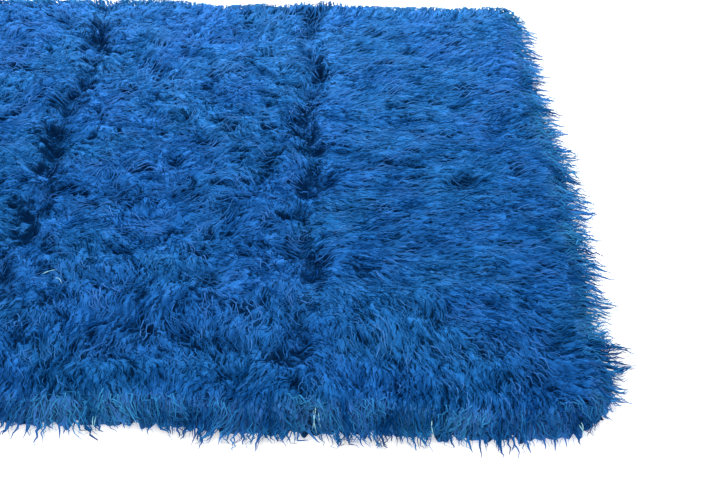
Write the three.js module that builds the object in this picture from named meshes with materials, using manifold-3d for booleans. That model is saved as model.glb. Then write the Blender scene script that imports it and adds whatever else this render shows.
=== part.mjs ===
// A shaggy hand-knotted wool rug, lying flat with its pile up. Ground cloth and pile are one piece:
// a lumpy slab whose top is the combed pile, with locks of wool lying out from its rim on the floor.
// It was stored folded in four, so three fold lines part the pile across the rug.
// Sizes are in millimetres. X runs along the rug, Y across it and Z up; the origin is on the floor
// under the middle of the rug.
import * as THREE from "three";
import { mergeVertices } from "three/addons/utils/BufferGeometryUtils.js";
import Module from "manifold-3d";

// Over the tips of the longest locks.
const RUG_LENGTH = 2160;
const RUG_WIDTH = 1400;

// The pile body, which the locks stand out from.
const BODY_LENGTH = 2024;
const BODY_WIDTH = 1256;
const CORNER_RADIUS = 60;
const END_FLARE = 12; // how much further each long side lies out at the ends than in the middle
const END_BULGE = 8; // how much further each end lies out in its middle than at the corners
const RIGHT_END_SLANT = 0.022; // the right end is slightly askew, so its near corner lies further out
const RIM_WAVE = 3.5; // how far the rim wanders in and out

// The height of the pile over the floor.
const PILE_HEIGHT = 40;
const RIM_HEIGHT = 13;
const SHOULDER_WIDTH = 50; // from the rim to the full height
const SHOULDER_INSETS = [0, 6, 20, SHOULDER_WIDTH]; // where the rounded shoulder has its grid lines

// The fold lines that part the pile, a quarter of the rug apart. A line drifts by slant times Y and
// sways by wander over each sway_length. depth is how far the trough sinks, shoulder how far the
// crests beside it rise, and tuft how far the pile stands up where the line ends.
const FOLDS = [
  { x: 521, slant: -0.018, wander: 11, sway_length: 350, sway_start: -112, depth: 20, shoulder: 5, tuft: 15 },
  { x: 0, slant: 0.003, wander: 11, sway_length: 440, sway_start: -205, depth: 22, shoulder: 6, tuft: 9 },
  { x: -523, slant: 0.01, wander: 11, sway_length: 390, sway_start: 120, depth: 20, shoulder: 5, tuft: 8 },
];
const FOLD_HALF_WIDTH = 21; // of the trough
const FOLD_SHOULDER_AT = 50; // from the line to the crest beside it
const FOLD_LINES = [-76, -50, -27, -10, 10, 27, 50, 76]; // the grid lines at a fold
const FOLD_PULL = 170; // how far from a fold the grid still sways with it

// Tufts that stand up from the pile, and cowlicks that sink into it.
const COWLICKS = [
  { x: 832, y: -66, radius: 42, rise: -10 },
  { x: 800, y: -20, radius: 60, rise: 5 },
  { x: 286, y: -490, radius: 48, rise: -9 },
  { x: 353, y: -505, radius: 42, rise: -8 },
  { x: 330, y: -430, radius: 70, rise: 6 },
  { x: 1004, y: 285, radius: 36, rise: -7 },
  { x: 940, y: -465, radius: 42, rise: -7 },
  { x: 158, y: -98, radius: 44, rise: -8 },
  { x: 342, y: -280, radius: 62, rise: 7 },
  { x: 362, y: -345, radius: 40, rise: -6 },
  { x: 640, y: 205, radius: 55, rise: 5 },
  { x: -235, y: 250, radius: 50, rise: -8 },
  { x: -310, y: -210, radius: 62, rise: 7 },
  { x: -760, y: 90, radius: 48, rise: -8 },
  { x: -700, y: -340, radius: 58, rise: 6 },
  { x: -880, y: 380, radius: 52, rise: -7 },
];

// The slow unevenness of the pile, as waves that cross each other.
const LUMPS = [
  { wave_length: 330, heading: 0.35, start: 0.4, rise: 3.2 },
  { wave_length: 238, heading: 1.32, start: 2.1, rise: 3.2 },
  { wave_length: 171, heading: 2.21, start: 4.4, rise: 2.8 },
  { wave_length: 143, heading: 0.93, start: 1.2, rise: 2.4 },
];

const GRID_PITCH = 42; // between grid lines where the pile is plain

// Locks of wool at the rim. They lie on the floor with a flat underside and a ridge on top. Their
// lean and bend change slowly along the rim, so that neighbours lie alongside each other.
const LOCK_PITCH = 31;
const LOCK_ROOT = 12; // how far a lock starts inside the rim
const LOCK_WIDTH = 29;
const LOCK_RIDGE = 11;
const LOCK_LENGTH = { least: 22, most: 52 }; // past the rim
const LOCK_LEAN = 0.42; // how far a lock may turn from straight out, in radians
const LOCK_BEND = 0.5; // how far it may bend between its root and its tip, in radians
const LOCK_STATIONS = [
  { along: 0, width: 1, ridge: 1 },
  { along: 0.5, width: 0.8, ridge: 0.85 },
  { along: 0.8, width: 0.42, ridge: 0.6 },
];

// One stray lock on each side reaches the full size of the rug.
const STRAYS = [
  { tip: [RUG_LENGTH / 2, -118], heading: 0 },
  { tip: [-RUG_LENGTH / 2, 143], heading: Math.PI },
  { tip: [212, RUG_WIDTH / 2], heading: Math.PI / 2 },
  { tip: [318, -RUG_WIDTH / 2], heading: -Math.PI / 2 },
];
const STRAY_MARGIN = 5; // the other locks stay this much further in

const PILE_COLOUR = "#1f5a9c";

// Repeatable random numbers from 0 to 1.
function seeded(seed) {
  let state = seed;
  return () => {
    state = (state * 1664525 + 1013904223) % 4294967296;
    return state / 4294967296;
  };
}

function smoothStep(value) {
  const t = THREE.MathUtils.clamp(value, 0, 1);
  return t * t * (3 - 2 * t);
}

function bump(distance, radius) {
  return Math.exp(-((distance / radius) ** 2));
}

// Grid lines from -half to half: the given ones, with even steps between those that lie far apart.
function gridLines(half, insets, others) {
  const fixed = [...insets.flatMap((inset) => [inset - half, half - inset]), ...others];
  fixed.sort((a, b) => a - b);
  const lines = [fixed[0]];
  for (let i = 1; i < fixed.length; i++) {
    const steps = Math.max(1, Math.round((fixed[i] - fixed[i - 1]) / GRID_PITCH));
    for (let step = 1; step <= steps; step++) {
      lines.push(THREE.MathUtils.lerp(fixed[i - 1], fixed[i], step / steps));
    }
  }
  return lines;
}

// How far a fold line has swayed from its own x at this y.
function sway(fold, y) {
  return fold.slant * y + fold.wander * Math.sin((2 * Math.PI * (y - fold.sway_start)) / fold.sway_length);
}

// A square corner pressed into a quarter circle. Both coordinates run from 0 to 1.
function roundedCorner(p, q) {
  return [p * Math.sqrt(1 - (q * q) / 2), q * Math.sqrt(1 - (p * p) / 2)];
}

// Where a point of the plain rectangular grid lies on the real rug.
function planPoint(gridX, gridY) {
  const side = [Math.sign(gridX), Math.sign(gridY)];
  let x = Math.abs(gridX);
  let y = Math.abs(gridY);
  const cornerX = BODY_LENGTH / 2 - CORNER_RADIUS;
  const cornerY = BODY_WIDTH / 2 - CORNER_RADIUS;
  if (x > cornerX && y > cornerY) {
    const [p, q] = roundedCorner((x - cornerX) / CORNER_RADIUS, (y - cornerY) / CORNER_RADIUS);
    x = cornerX + p * CORNER_RADIUS;
    y = cornerY + q * CORNER_RADIUS;
  }
  const alongX = x / (BODY_LENGTH / 2);
  const alongY = y / (BODY_WIDTH / 2);
  const endWave = Math.sin(gridY / 47 + side[0]) + Math.sin(gridY / 113 + 2 * side[0]);
  const sideWave = Math.sin(gridX / 53 + side[1]) + Math.sin(gridX / 127 + 2 * side[1]);
  x += alongX ** 6 * (END_BULGE * Math.cos((alongY * Math.PI) / 2) + RIM_WAVE * endWave);
  if (side[0] > 0) x -= alongX ** 6 * RIGHT_END_SLANT * gridY;
  y += alongY ** 6 * (END_FLARE * alongX ** 3 + RIM_WAVE * sideWave);
  const pulled = FOLDS.reduce((sum, fold) => {
    return sum + sway(fold, gridY) * smoothStep(1 - Math.abs(gridX - fold.x) / FOLD_PULL);
  }, 0);
  return [side[0] * x + pulled, side[1] * y];
}

// How far the pile sinks or rises at a fold line.
function foldHeight(fold, gridX, gridY) {
  const away = Math.abs(gridX - fold.x);
  const depth = fold.depth * (0.78 + 0.22 * Math.cos(gridY / 61 + fold.x));
  const crest = fold.shoulder * (0.8 + 0.2 * Math.sin(gridY / 83 + fold.x));
  const tuft = fold.tuft * bump(Math.abs(gridY) - BODY_WIDTH / 2 + SHOULDER_WIDTH / 3, SHOULDER_WIDTH / 2);
  return (
    crest * bump(away - FOLD_SHOULDER_AT, FOLD_HALF_WIDTH) -
    depth * bump(away, FOLD_HALF_WIDTH) +
    tuft * bump(away, FOLD_SHOULDER_AT)
  );
}

// The height of the pile over the floor at a grid point that lies at x, y.
function pileHeight(gridX, gridY, x, y) {
  const insetX = BODY_LENGTH / 2 - Math.abs(gridX);
  const insetY = BODY_WIDTH / 2 - Math.abs(gridY);
  const rise = (inset) => {
    const t = 1 - Math.min(inset / SHOULDER_WIDTH, 1);
    return Math.sqrt(1 - t * t);
  };
  const shoulder = rise(insetX) * rise(insetY);
  let height = PILE_HEIGHT - RIM_HEIGHT;
  for (const lump of LUMPS) {
    const along = x * Math.cos(lump.heading) + y * Math.sin(lump.heading);
    height += lump.rise * Math.sin((2 * Math.PI * along) / lump.wave_length + lump.start);
  }
  for (const cowlick of COWLICKS) {
    height += cowlick.rise * bump(Math.hypot(x - cowlick.x, y - cowlick.y), cowlick.radius);
  }
  for (const fold of FOLDS) {
    height += foldHeight(fold, gridX, gridY);
  }
  return RIM_HEIGHT + shoulder * height;
}

// The grid's outer points in order, anticlockwise seen from above.
function rimIndices(columns, rows) {
  const rim = [];
  for (let i = 0; i < columns - 1; i++) rim.push(i);
  for (let j = 0; j < rows - 1; j++) rim.push(j * columns + columns - 1);
  for (let i = columns - 1; i > 0; i--) rim.push((rows - 1) * columns + i);
  for (let j = rows - 1; j > 0; j--) rim.push(j * columns);
  return rim;
}

// The pile body: the uneven top, the wall of the rim and the flat underside.
function bodyGeometry() {
  const foldLines = FOLDS.flatMap((fold) => FOLD_LINES.map((offset) => fold.x + offset));
  const xs = gridLines(BODY_LENGTH / 2, SHOULDER_INSETS, foldLines);
  const ys = gridLines(BODY_WIDTH / 2, SHOULDER_INSETS, []);
  const positions = [];
  for (const gridY of ys) {
    for (const gridX of xs) {
      const [x, y] = planPoint(gridX, gridY);
      positions.push(x, y, pileHeight(gridX, gridY, x, y));
    }
  }
  const indices = [];
  for (let j = 0; j < ys.length - 1; j++) {
    for (let i = 0; i < xs.length - 1; i++) {
      const near = j * xs.length + i;
      const far = near + xs.length;
      indices.push(near, near + 1, far + 1, near, far + 1, far);
    }
  }
  const rim = rimIndices(xs.length, ys.length);
  const firstUnder = positions.length / 3;
  const outline = rim.map((index) => {
    const point = new THREE.Vector2(positions[index * 3], positions[index * 3 + 1]);
    positions.push(point.x, point.y, 0);
    return point;
  });
  rim.forEach((index, k) => {
    const next = (k + 1) % rim.length;
    indices.push(firstUnder + k, firstUnder + next, rim[next], firstUnder + k, rim[next], index);
  });
  for (const [a, b, c] of THREE.ShapeUtils.triangulateShape(outline, [])) {
    indices.push(firstUnder + a, firstUnder + c, firstUnder + b);
  }
  return { geometry: indexedGeometry(positions, indices), outline };
}

function indexedGeometry(positions, indices) {
  const geometry = new THREE.BufferGeometry();
  geometry.setAttribute("position", new THREE.Float32BufferAttribute(positions, 3));
  geometry.setIndex(indices);
  return geometry;
}

// One lock: a three-sided taper from its root inside the rim to a point on the floor.
function lockGeometry({ root, heading, bend, length, width, ridge }) {
  const positions = [];
  const path = (along) => {
    const turned = heading + bend * along * 0.5;
    return [root.x + Math.cos(turned) * length * along, root.y + Math.sin(turned) * length * along];
  };
  for (const station of LOCK_STATIONS) {
    const [x, y] = path(station.along);
    const across = heading + bend * station.along + Math.PI / 2;
    const half = (width * station.width) / 2;
    const [dx, dy] = [Math.cos(across) * half, Math.sin(across) * half];
    positions.push(x - dx, y - dy, 0, x + dx, y + dy, 0, x, y, ridge * station.ridge);
  }
  positions.push(...path(1), 0);
  const indices = [0, 2, 1];
  for (let ring = 0; ring < LOCK_STATIONS.length - 1; ring++) {
    for (let side = 0; side < 3; side++) {
      const a = ring * 3 + side;
      const b = ring * 3 + ((side + 1) % 3);
      indices.push(a, b, b + 3, a, b + 3, a + 3);
    }
  }
  const last = (LOCK_STATIONS.length - 1) * 3;
  const tip = last + 3;
  for (let side = 0; side < 3; side++) {
    indices.push(last + side, last + ((side + 1) % 3), tip);
  }
  return indexedGeometry(positions, indices);
}

// The longest that a lock may be before its tip passes the room inside the strays.
function longestInside(root, heading) {
  const room = (from, step, half) => {
    if (Math.abs(step) < 1e-6) return Infinity;
    return (Math.sign(step) * half - from) / step;
  };
  return Math.min(
    room(root.x, Math.cos(heading), RUG_LENGTH / 2 - STRAY_MARGIN),
    room(root.y, Math.sin(heading), RUG_WIDTH / 2 - STRAY_MARGIN),
  );
}

// A slow wave along the rim, from -1 to 1.
function rimWave(along, start) {
  return 0.6 * Math.sin(along / 83 + start) + 0.4 * Math.sin(along / 31 + 2 * start);
}

// The locks round the rim, spaced evenly along it, each a little different from its neighbours.
function rimLocks(outline) {
  const random = seeded(20);
  const between = (least, most) => least + (most - least) * random();
  const locks = [];
  let untilNext = LOCK_PITCH / 2;
  let along = 0;
  outline.forEach((from, k) => {
    const edge = outline[(k + 1) % outline.length].clone().sub(from);
    const outward = edge.clone().rotateAround(new THREE.Vector2(), -Math.PI / 2).normalize();
    for (; untilNext < edge.length(); untilNext += LOCK_PITCH * between(0.88, 1.12)) {
      const root = from.clone().addScaledVector(edge, untilNext / edge.length());
      root.addScaledVector(outward, -LOCK_ROOT);
      const place = along + untilNext;
      const heading = outward.angle() + LOCK_LEAN * (0.8 * rimWave(place, 1) + between(-0.2, 0.2));
      const bend = LOCK_BEND * (0.8 * rimWave(place, 4) + between(-0.2, 0.2));
      const wanted = LOCK_ROOT + between(LOCK_LENGTH.least, LOCK_LENGTH.most);
      const length = Math.min(wanted, longestInside(root, heading + bend / 2));
      const width = LOCK_WIDTH * between(0.8, 1.1);
      locks.push({ root, heading, bend, length, width, ridge: LOCK_RIDGE * between(0.75, 1.1) });
    }
    untilNext -= edge.length();
    along += edge.length();
  });
  return locks;
}

// The stray locks, laid straight back from their tips to inside the rim.
function strayLocks() {
  return STRAYS.map(({ tip, heading }) => {
    const half = heading % Math.PI === 0 ? [RUG_LENGTH, BODY_LENGTH] : [RUG_WIDTH, BODY_WIDTH];
    const length = (half[0] - half[1]) / 2 + LOCK_ROOT;
    const root = new THREE.Vector2(tip[0] - Math.cos(heading) * length, tip[1] - Math.sin(heading) * length);
    return { root, heading, bend: 0, length, width: LOCK_WIDTH, ridge: LOCK_RIDGE };
  });
}

function solidOf(wasm, geometry) {
  return new wasm.Manifold(
    new wasm.Mesh({
      numProp: 3,
      vertProperties: geometry.getAttribute("position").array,
      triVerts: new Uint32Array(geometry.index.array),
    }),
  );
}

function geometryOf(solid) {
  const { numProp, vertProperties, triVerts } = solid.getMesh();
  const positions = [];
  for (let i = 0; i < vertProperties.length; i += numProp) {
    positions.push(vertProperties[i], vertProperties[i + 1], vertProperties[i + 2]);
  }
  return mergeVertices(indexedGeometry(positions, [...triVerts]), 1e-4);
}

const wasm = await Module();
wasm.setup();

function rugMesh() {
  const { geometry, outline } = bodyGeometry();
  const locks = [...rimLocks(outline), ...strayLocks()];
  const solid = locks.reduce((joined, lock) => {
    return joined.add(solidOf(wasm, lockGeometry(lock)));
  }, solidOf(wasm, geometry));
  const material = new THREE.MeshStandardMaterial({ color: PILE_COLOUR, roughness: 0.9, metalness: 0 });
  const mesh = new THREE.Mesh(geometryOf(solid), material);
  mesh.name = "shag_rug";
  return mesh;
}

const rug = new THREE.Group();
rug.add(rugMesh());

export default rug;
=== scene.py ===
"""A long-pile wool rug, dyed cobalt blue, lying flat with its pile up and parted along old fold lines.

Metres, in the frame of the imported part: X runs along the rug, Y across it and Z up. The pile's shape is
worked out once, as a field of heights and of the way the wool lies. The felted mass of the pile follows
that field with a fine relief, and Geometry Nodes root the loose strands and the rim's locks in it.
"""

from __future__ import annotations

import logging
import math
from dataclasses import dataclass, field
from enum import Enum
from typing import Any, Callable

import bpy
import numpy as np
from mathutils import Matrix, Vector


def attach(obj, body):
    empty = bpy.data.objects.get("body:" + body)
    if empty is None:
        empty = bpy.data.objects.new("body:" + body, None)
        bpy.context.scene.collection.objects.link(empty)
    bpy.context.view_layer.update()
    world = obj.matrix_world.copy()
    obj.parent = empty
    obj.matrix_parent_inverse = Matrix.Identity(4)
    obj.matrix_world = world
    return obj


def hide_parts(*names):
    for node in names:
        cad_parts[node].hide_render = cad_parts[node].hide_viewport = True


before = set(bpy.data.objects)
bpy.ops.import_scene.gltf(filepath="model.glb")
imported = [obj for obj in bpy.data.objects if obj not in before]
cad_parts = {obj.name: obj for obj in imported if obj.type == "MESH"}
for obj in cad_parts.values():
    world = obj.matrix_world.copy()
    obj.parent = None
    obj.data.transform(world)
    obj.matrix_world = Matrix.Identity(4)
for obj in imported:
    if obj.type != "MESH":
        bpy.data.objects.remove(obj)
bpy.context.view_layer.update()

LOG = logging.getLogger("rug")
BODY = "root"
NODE = "shag_rug"
UV_NAME = "OFBake"
Colour = tuple[float, float, float]
Place = tuple[float, float, float]
CellTest = Callable[[np.ndarray, np.ndarray], np.ndarray]


class Panel(Enum):
    """The stretches of pile between the fold lines, from the left end to the right."""

    LEFT_END = "left_end"
    LEFT_MIDDLE = "left_middle"
    RIGHT_MIDDLE = "right_middle"
    RIGHT_END = "right_end"


@dataclass(frozen=True)
class Fold:
    """A line across the rug along which it lay folded, so that the pile parts there.

    Attributes:
        x: Where it crosses the middle of the rug.
        slant: How far it moves along the rug for each metre across it.
        wander: How far it sways to each side.
        sway_length: The length of one sway.
        sway_start: The Y at which a sway starts.
        depth: How deep the parting is.
        tuft: How far the wool stands up at the two ends of the parting.
        shadow: Half the width of the dark along it.
    """

    x: float
    slant: float
    wander: float
    sway_length: float
    sway_start: float
    depth: float
    tuft: float
    shadow: float

    def line(self, y: np.ndarray) -> np.ndarray:
        """Returns the fold's X at each Y."""
        turn = 2 * np.pi * (y - self.sway_start) / self.sway_length
        kinks = 0.3 * np.sin(y / 0.021 + 9 * self.x) + 0.22 * np.sin(y / 0.0093 + 5 * self.x)
        return self.x + self.slant * y + self.wander * (np.sin(turn) + kinks)

    def strength(self, y: np.ndarray, mean: float, slow: float, quick: float) -> np.ndarray:
        """Returns how strong the parting is at each Y.

        Args:
            y: The places across the rug.
            mean: Its strength on average.
            slow: How much it changes over about 20 cm.
            quick: How much it changes over about 8 cm.
        """
        return mean + slow * np.sin(y / 0.034 + 7 * self.x) + quick * np.sin(y / 0.0136 + 3 * self.x)


@dataclass(frozen=True)
class Cowlick:
    """A spot where the pile sinks (a negative rise) or stands up, and the wool turns about it."""

    x: float
    y: float
    radius: float
    rise: float
    turn: float = 0.0


def bump(distance: np.ndarray, radius: float) -> np.ndarray:
    """Returns a smooth hill that is 1 at distance 0 and fades beyond the radius."""
    return np.exp(-((distance / radius) ** 2))


def smooth_step(value: np.ndarray) -> np.ndarray:
    """Returns 0 below 0, 1 above 1 and a smooth rise between."""
    t = np.clip(value, 0, 1)
    return t * t * (3 - 2 * t)


def unit(vectors: np.ndarray) -> np.ndarray:
    """Returns the vectors at length 1."""
    return vectors / np.maximum(np.linalg.norm(vectors, axis=-1, keepdims=True), 1e-9)


@dataclass
class PileField:
    """The shape of the pile: its outline, its height over the floor and the way the wool lies.

    Attributes:
        length: The length of the pile's body, without its bulges and the tips of the locks.
        width: The width of the pile's body.
        near_corner: The radius of the two corners on the near side.
        far_corner: The radius of the two corners on the far side.
        far_bulge: How far the far side bulges, towards the left.
        near_bulge: How far the near side bulges, towards the right.
        flare: How much wider each side is at the ends than in the middle.
        bulge: How far each end bulges.
        right_end_slant: How far the right end moves along the rug for each metre across it.
        rim_wave: How far the rim waves.
        pile_height: The height of the pile over the floor.
        rim_height: Its height at the rim.
        shoulder: The width of the slope at the rim.
        overhang: How far beyond the rim the wool sinks to the floor.
        trough_half_width: Half the width of a parting's trough.
        crest_at: How far from a fold line the pile swells.
        crest_rise: How high it swells there.
        crest_width: Half the width of the swell.
        tuft_reach: How far from a fold line its end tufts stand up.
        least_crown: The least height of the pile over its rim.
        side_roll: How much higher the pile is just inside its long sides.
        least_height: The least height of the pile over the floor.
        parting_reach: How far from a fold line the wool is tousled by it.
        darkest_pit: How deep a cowlick sinks where its shade is full.
        hollow_fade: How far inside the rim the partings' shade is full.
        folds: The fold lines, from the right to the left.
        cowlicks: The spots where the pile sinks or stands up.
        lumps: The slow waves of the pile: the length, heading, start and height of each.
    """

    length: float = 2.024
    width: float = 1.282
    near_corner: float = 0.112
    far_corner: float = 0.028
    far_bulge: float = 0.018
    near_bulge: float = 0.012
    flare: float = 0.012
    bulge: float = 0.008
    right_end_slant: float = 0.022
    rim_wave: float = 0.0035
    pile_height: float = 0.040
    rim_height: float = 0.020
    shoulder: float = 0.048
    overhang: float = 0.070
    trough_half_width: float = 0.014
    crest_at: float = 0.045
    crest_rise: float = 0.004
    crest_width: float = 0.025
    tuft_reach: float = 0.05
    least_crown: float = 0.004
    side_roll: float = 0.006
    least_height: float = 0.008
    parting_reach: float = 0.022
    darkest_pit: float = 0.016
    hollow_fade: float = 0.04
    folds: tuple[Fold, ...] = (
        Fold(0.521, -0.018, 0.011, 0.350, -0.112, 0.019, 0.017, 0.022),
        Fold(0.0, 0.003, 0.011, 0.440, -0.205, 0.024, 0.006, 0.036),
        Fold(-0.523, 0.010, 0.011, 0.390, 0.120, 0.018, 0.005, 0.024),
    )
    cowlicks: tuple[Cowlick, ...] = (
        Cowlick(0.822, -0.064, 0.018, -0.022, 0.2),
        Cowlick(0.848, -0.054, 0.018, -0.022, 0.2),
        Cowlick(0.826, -0.028, 0.026, 0.009, 0.2),
        Cowlick(0.262, -0.492, 0.045, -0.013, 1.4),
        Cowlick(0.322, -0.486, 0.030, -0.010, -1.2),
        Cowlick(0.300, -0.425, 0.060, 0.007, 0.6),
        Cowlick(0.205, -0.512, 0.034, -0.010, 0.5),
        Cowlick(0.914, 0.130, 0.024, -0.010, 0.4),
        Cowlick(0.997, 0.300, 0.028, -0.012, 0.5),
        Cowlick(0.769, -0.430, 0.030, -0.011, 0.9),
        Cowlick(0.954, -0.473, 0.030, -0.012, 0.8),
        Cowlick(0.165, -0.115, 0.034, -0.010, -0.8),
        Cowlick(0.254, -0.008, 0.030, -0.009, 0.5),
        Cowlick(0.427, -0.030, 0.034, -0.009, -0.5),
        Cowlick(0.342, -0.300, 0.055, 0.008, 0.4),
        Cowlick(0.364, -0.258, 0.024, -0.009, 0.5),
        Cowlick(0.365, -0.345, 0.026, -0.010, 0.6),
        Cowlick(-0.081, 0.521, 0.026, -0.009, 0.4),
        Cowlick(0.640, 0.200, 0.055, 0.005, 0.3),
        Cowlick(0.544, 0.319, 0.020, -0.016, 0.3),
        Cowlick(0.507, 0.104, 0.024, -0.018, -0.3),
        Cowlick(0.533, 0.048, 0.022, -0.022, 0.3),
        Cowlick(0.524, -0.080, 0.028, -0.026, 0.0),
        Cowlick(0.565, -0.057, 0.022, -0.020, 0.2),
        Cowlick(0.440, 0.012, 0.024, -0.016, -0.3),
        Cowlick(0.561, -0.300, 0.020, -0.018, 0.2),
        Cowlick(0.511, -0.285, 0.024, -0.018, 0.2),
        Cowlick(0.493, -0.526, 0.020, -0.015, 0.0),
        Cowlick(0.526, -0.520, 0.018, -0.014, 0.0),
        Cowlick(0.004, 0.450, 0.022, -0.014, 0.2),
        Cowlick(0.006, 0.180, 0.030, -0.018, 0.2),
        Cowlick(-0.004, -0.030, 0.026, -0.016, -0.2),
        Cowlick(0.004, -0.230, 0.028, -0.018, 0.2),
        Cowlick(0.008, -0.390, 0.030, -0.016, 0.0),
        Cowlick(-0.235, 0.250, 0.050, -0.010, 0.8),
        Cowlick(-0.310, -0.210, 0.062, 0.007, -0.6),
        Cowlick(-0.520, 0.210, 0.026, -0.018, 0.2),
        Cowlick(-0.527, -0.120, 0.028, -0.018, 0.0),
        Cowlick(-0.524, -0.400, 0.024, -0.016, 0.2),
        Cowlick(-0.760, 0.090, 0.034, -0.012, 0.6),
        Cowlick(-0.700, -0.340, 0.058, 0.006, -0.4),
        Cowlick(-0.880, 0.380, 0.032, -0.011, 0.5),
    )
    lumps: tuple[tuple[float, float, float, float], ...] = (
        (0.330, 0.35, 0.4, 0.0028),
        (0.238, 1.32, 2.1, 0.0028),
        (0.171, 2.21, 4.4, 0.0026),
        (0.143, 0.93, 1.2, 0.0024),
        (0.083, 1.60, 0.7, 0.0022),
        (0.061, 1.25, 3.0, 0.0018),
    )

    def inset(self, x: np.ndarray, y: np.ndarray) -> np.ndarray:
        """Returns how far each point lies inside the rim, negative outside it.

        Args:
            x: The points' places along the rug.
            y: Their places across it.
        """
        along_x = np.abs(x) / (self.length / 2)
        along_y = np.abs(y) / (self.width / 2)
        end_wave = np.sin(y / 0.047 + np.sign(x)) + np.sin(y / 0.113 + 2 * np.sign(x))
        side_wave = np.sin(x / 0.053 + np.sign(y)) + np.sin(x / 0.127 + 2 * np.sign(y))
        half_x = self.length / 2 + self.bulge * np.cos(np.minimum(along_y, 1) * np.pi / 2)
        half_x = half_x + self.rim_wave * end_wave - np.where(x > 0, self.right_end_slant * y, 0)
        half_y = self.width / 2 + self.flare * np.minimum(along_x, 1) ** 3
        half_y = half_y + self.rim_wave * side_wave
        far_bulge = self.far_bulge * smooth_step((0.45 - x) / 0.3)
        near_bulge = self.near_bulge * smooth_step((x - 0.2) / 0.6)
        half_y = half_y + np.where(y > 0, far_bulge, near_bulge)
        corner = np.where(y > 0, self.far_corner, self.near_corner)
        over_x = np.abs(x) - half_x + corner
        over_y = np.abs(y) - half_y + corner
        outside = np.hypot(np.maximum(over_x, 0), np.maximum(over_y, 0))
        inside = np.minimum(np.maximum(over_x, over_y), 0)
        return corner - outside - inside

    def rim_slope(self, x: np.ndarray, y: np.ndarray, step: float) -> tuple[np.ndarray, np.ndarray]:
        """Returns how much the inset grows over two steps along the rug and over two across it."""
        along = self.inset(x + step, y) - self.inset(x - step, y)
        across = self.inset(x, y + step) - self.inset(x, y - step)
        return along, across

    def at_folds(self, x: np.ndarray, y: np.ndarray, reach: float) -> np.ndarray:
        """Returns how near each point is to a fold line, 1 on it and fading beyond the reach."""
        return sum(bump(x - fold.line(y), reach) for fold in self.folds)

    def nearness(self, y: np.ndarray) -> np.ndarray:
        """Returns 1 along the near side of the rug and 0 over its far part."""
        return smooth_step((-0.15 - y) / 0.25)

    def height(self, x: np.ndarray, y: np.ndarray) -> np.ndarray:
        """Returns the height of the top of the pile over the floor.

        Args:
            x: The points' places along the rug.
            y: Their places across it.
        """
        inset = self.inset(x, y)
        t = 1 - np.clip(inset / self.shoulder, 0, 1)
        crown = np.full_like(x, self.pile_height - self.rim_height)
        for wave_length, heading, start, rise in self.lumps:
            along = x * math.cos(heading) + y * math.sin(heading)
            crown += rise * np.sin(2 * np.pi * along / wave_length + start)
        for spot in self.cowlicks:
            crown += spot.rise * bump(np.hypot(x - spot.x, y - spot.y), spot.radius)
        for fold in self.folds:
            away = np.abs(x - fold.line(y))
            end = bump(np.abs(y) - self.width / 2 + self.shoulder / 2, self.shoulder / 2)
            uneven = fold.strength(y, 0.62, 0.25, 0.2)
            crest = self.crest_rise * bump(away - self.crest_at, self.crest_width)
            crown += crest + fold.tuft * end * bump(away, self.tuft_reach)
            crown -= fold.depth * uneven * bump(away, self.trough_half_width) * (1 - end)
        roll = self.side_roll * bump(np.abs(y) - self.width / 2 + 0.03, 0.05)
        crown = np.maximum(crown, self.least_crown) + roll
        top = self.rim_height + np.sqrt(1 - t * t) * crown
        below = np.clip(1 + inset / self.overhang, 0.12, 1)
        return np.where(inset > 0, np.maximum(top, self.least_height), self.rim_height * below)

    def hollow(self, x: np.ndarray, y: np.ndarray) -> np.ndarray:
        """Returns how deep in a hollow or a parting each point lies, from 0 to 1.

        Args:
            x: The points' places along the rug.
            y: Their places across it.
        """
        depth = np.zeros_like(x)
        for spot in self.cowlicks:
            pit = bump(np.hypot(x - spot.x, y - spot.y), 0.8 * spot.radius)
            depth += max(0.0, -spot.rise / self.darkest_pit) * pit
        within = smooth_step(self.inset(x, y) / self.hollow_fade)
        for fold in self.folds:
            depth += within * fold.strength(y, 0.60, 0.28, 0.20) * bump(x - fold.line(y), fold.shadow)
        return np.clip(depth, 0, 1)

    def unrest(self, x: np.ndarray, y: np.ndarray) -> np.ndarray:
        """Returns how much the wool is tousled at each point, from 0 to 1.

        Args:
            x: The points' places along the rug.
            y: Their places across it.
        """
        calm = smooth_step((x - self.folds[0].line(y)) / 0.06)
        calm = np.maximum(calm, smooth_step((self.folds[2].line(y) - x) / 0.06))
        calm = calm * (1 - 0.5 * smooth_step((-0.25 - y) / 0.25))
        at_fold = self.at_folds(x, y, self.parting_reach)
        calm = 0.50 * calm + 0.16 * smooth_step((-0.30 - y) / 0.15) * (1 - calm)
        return (0.62 - calm) * (0.4 + 0.6 * smooth_step(self.inset(x, y) / 0.12)) + 0.35 * at_fold

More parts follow.
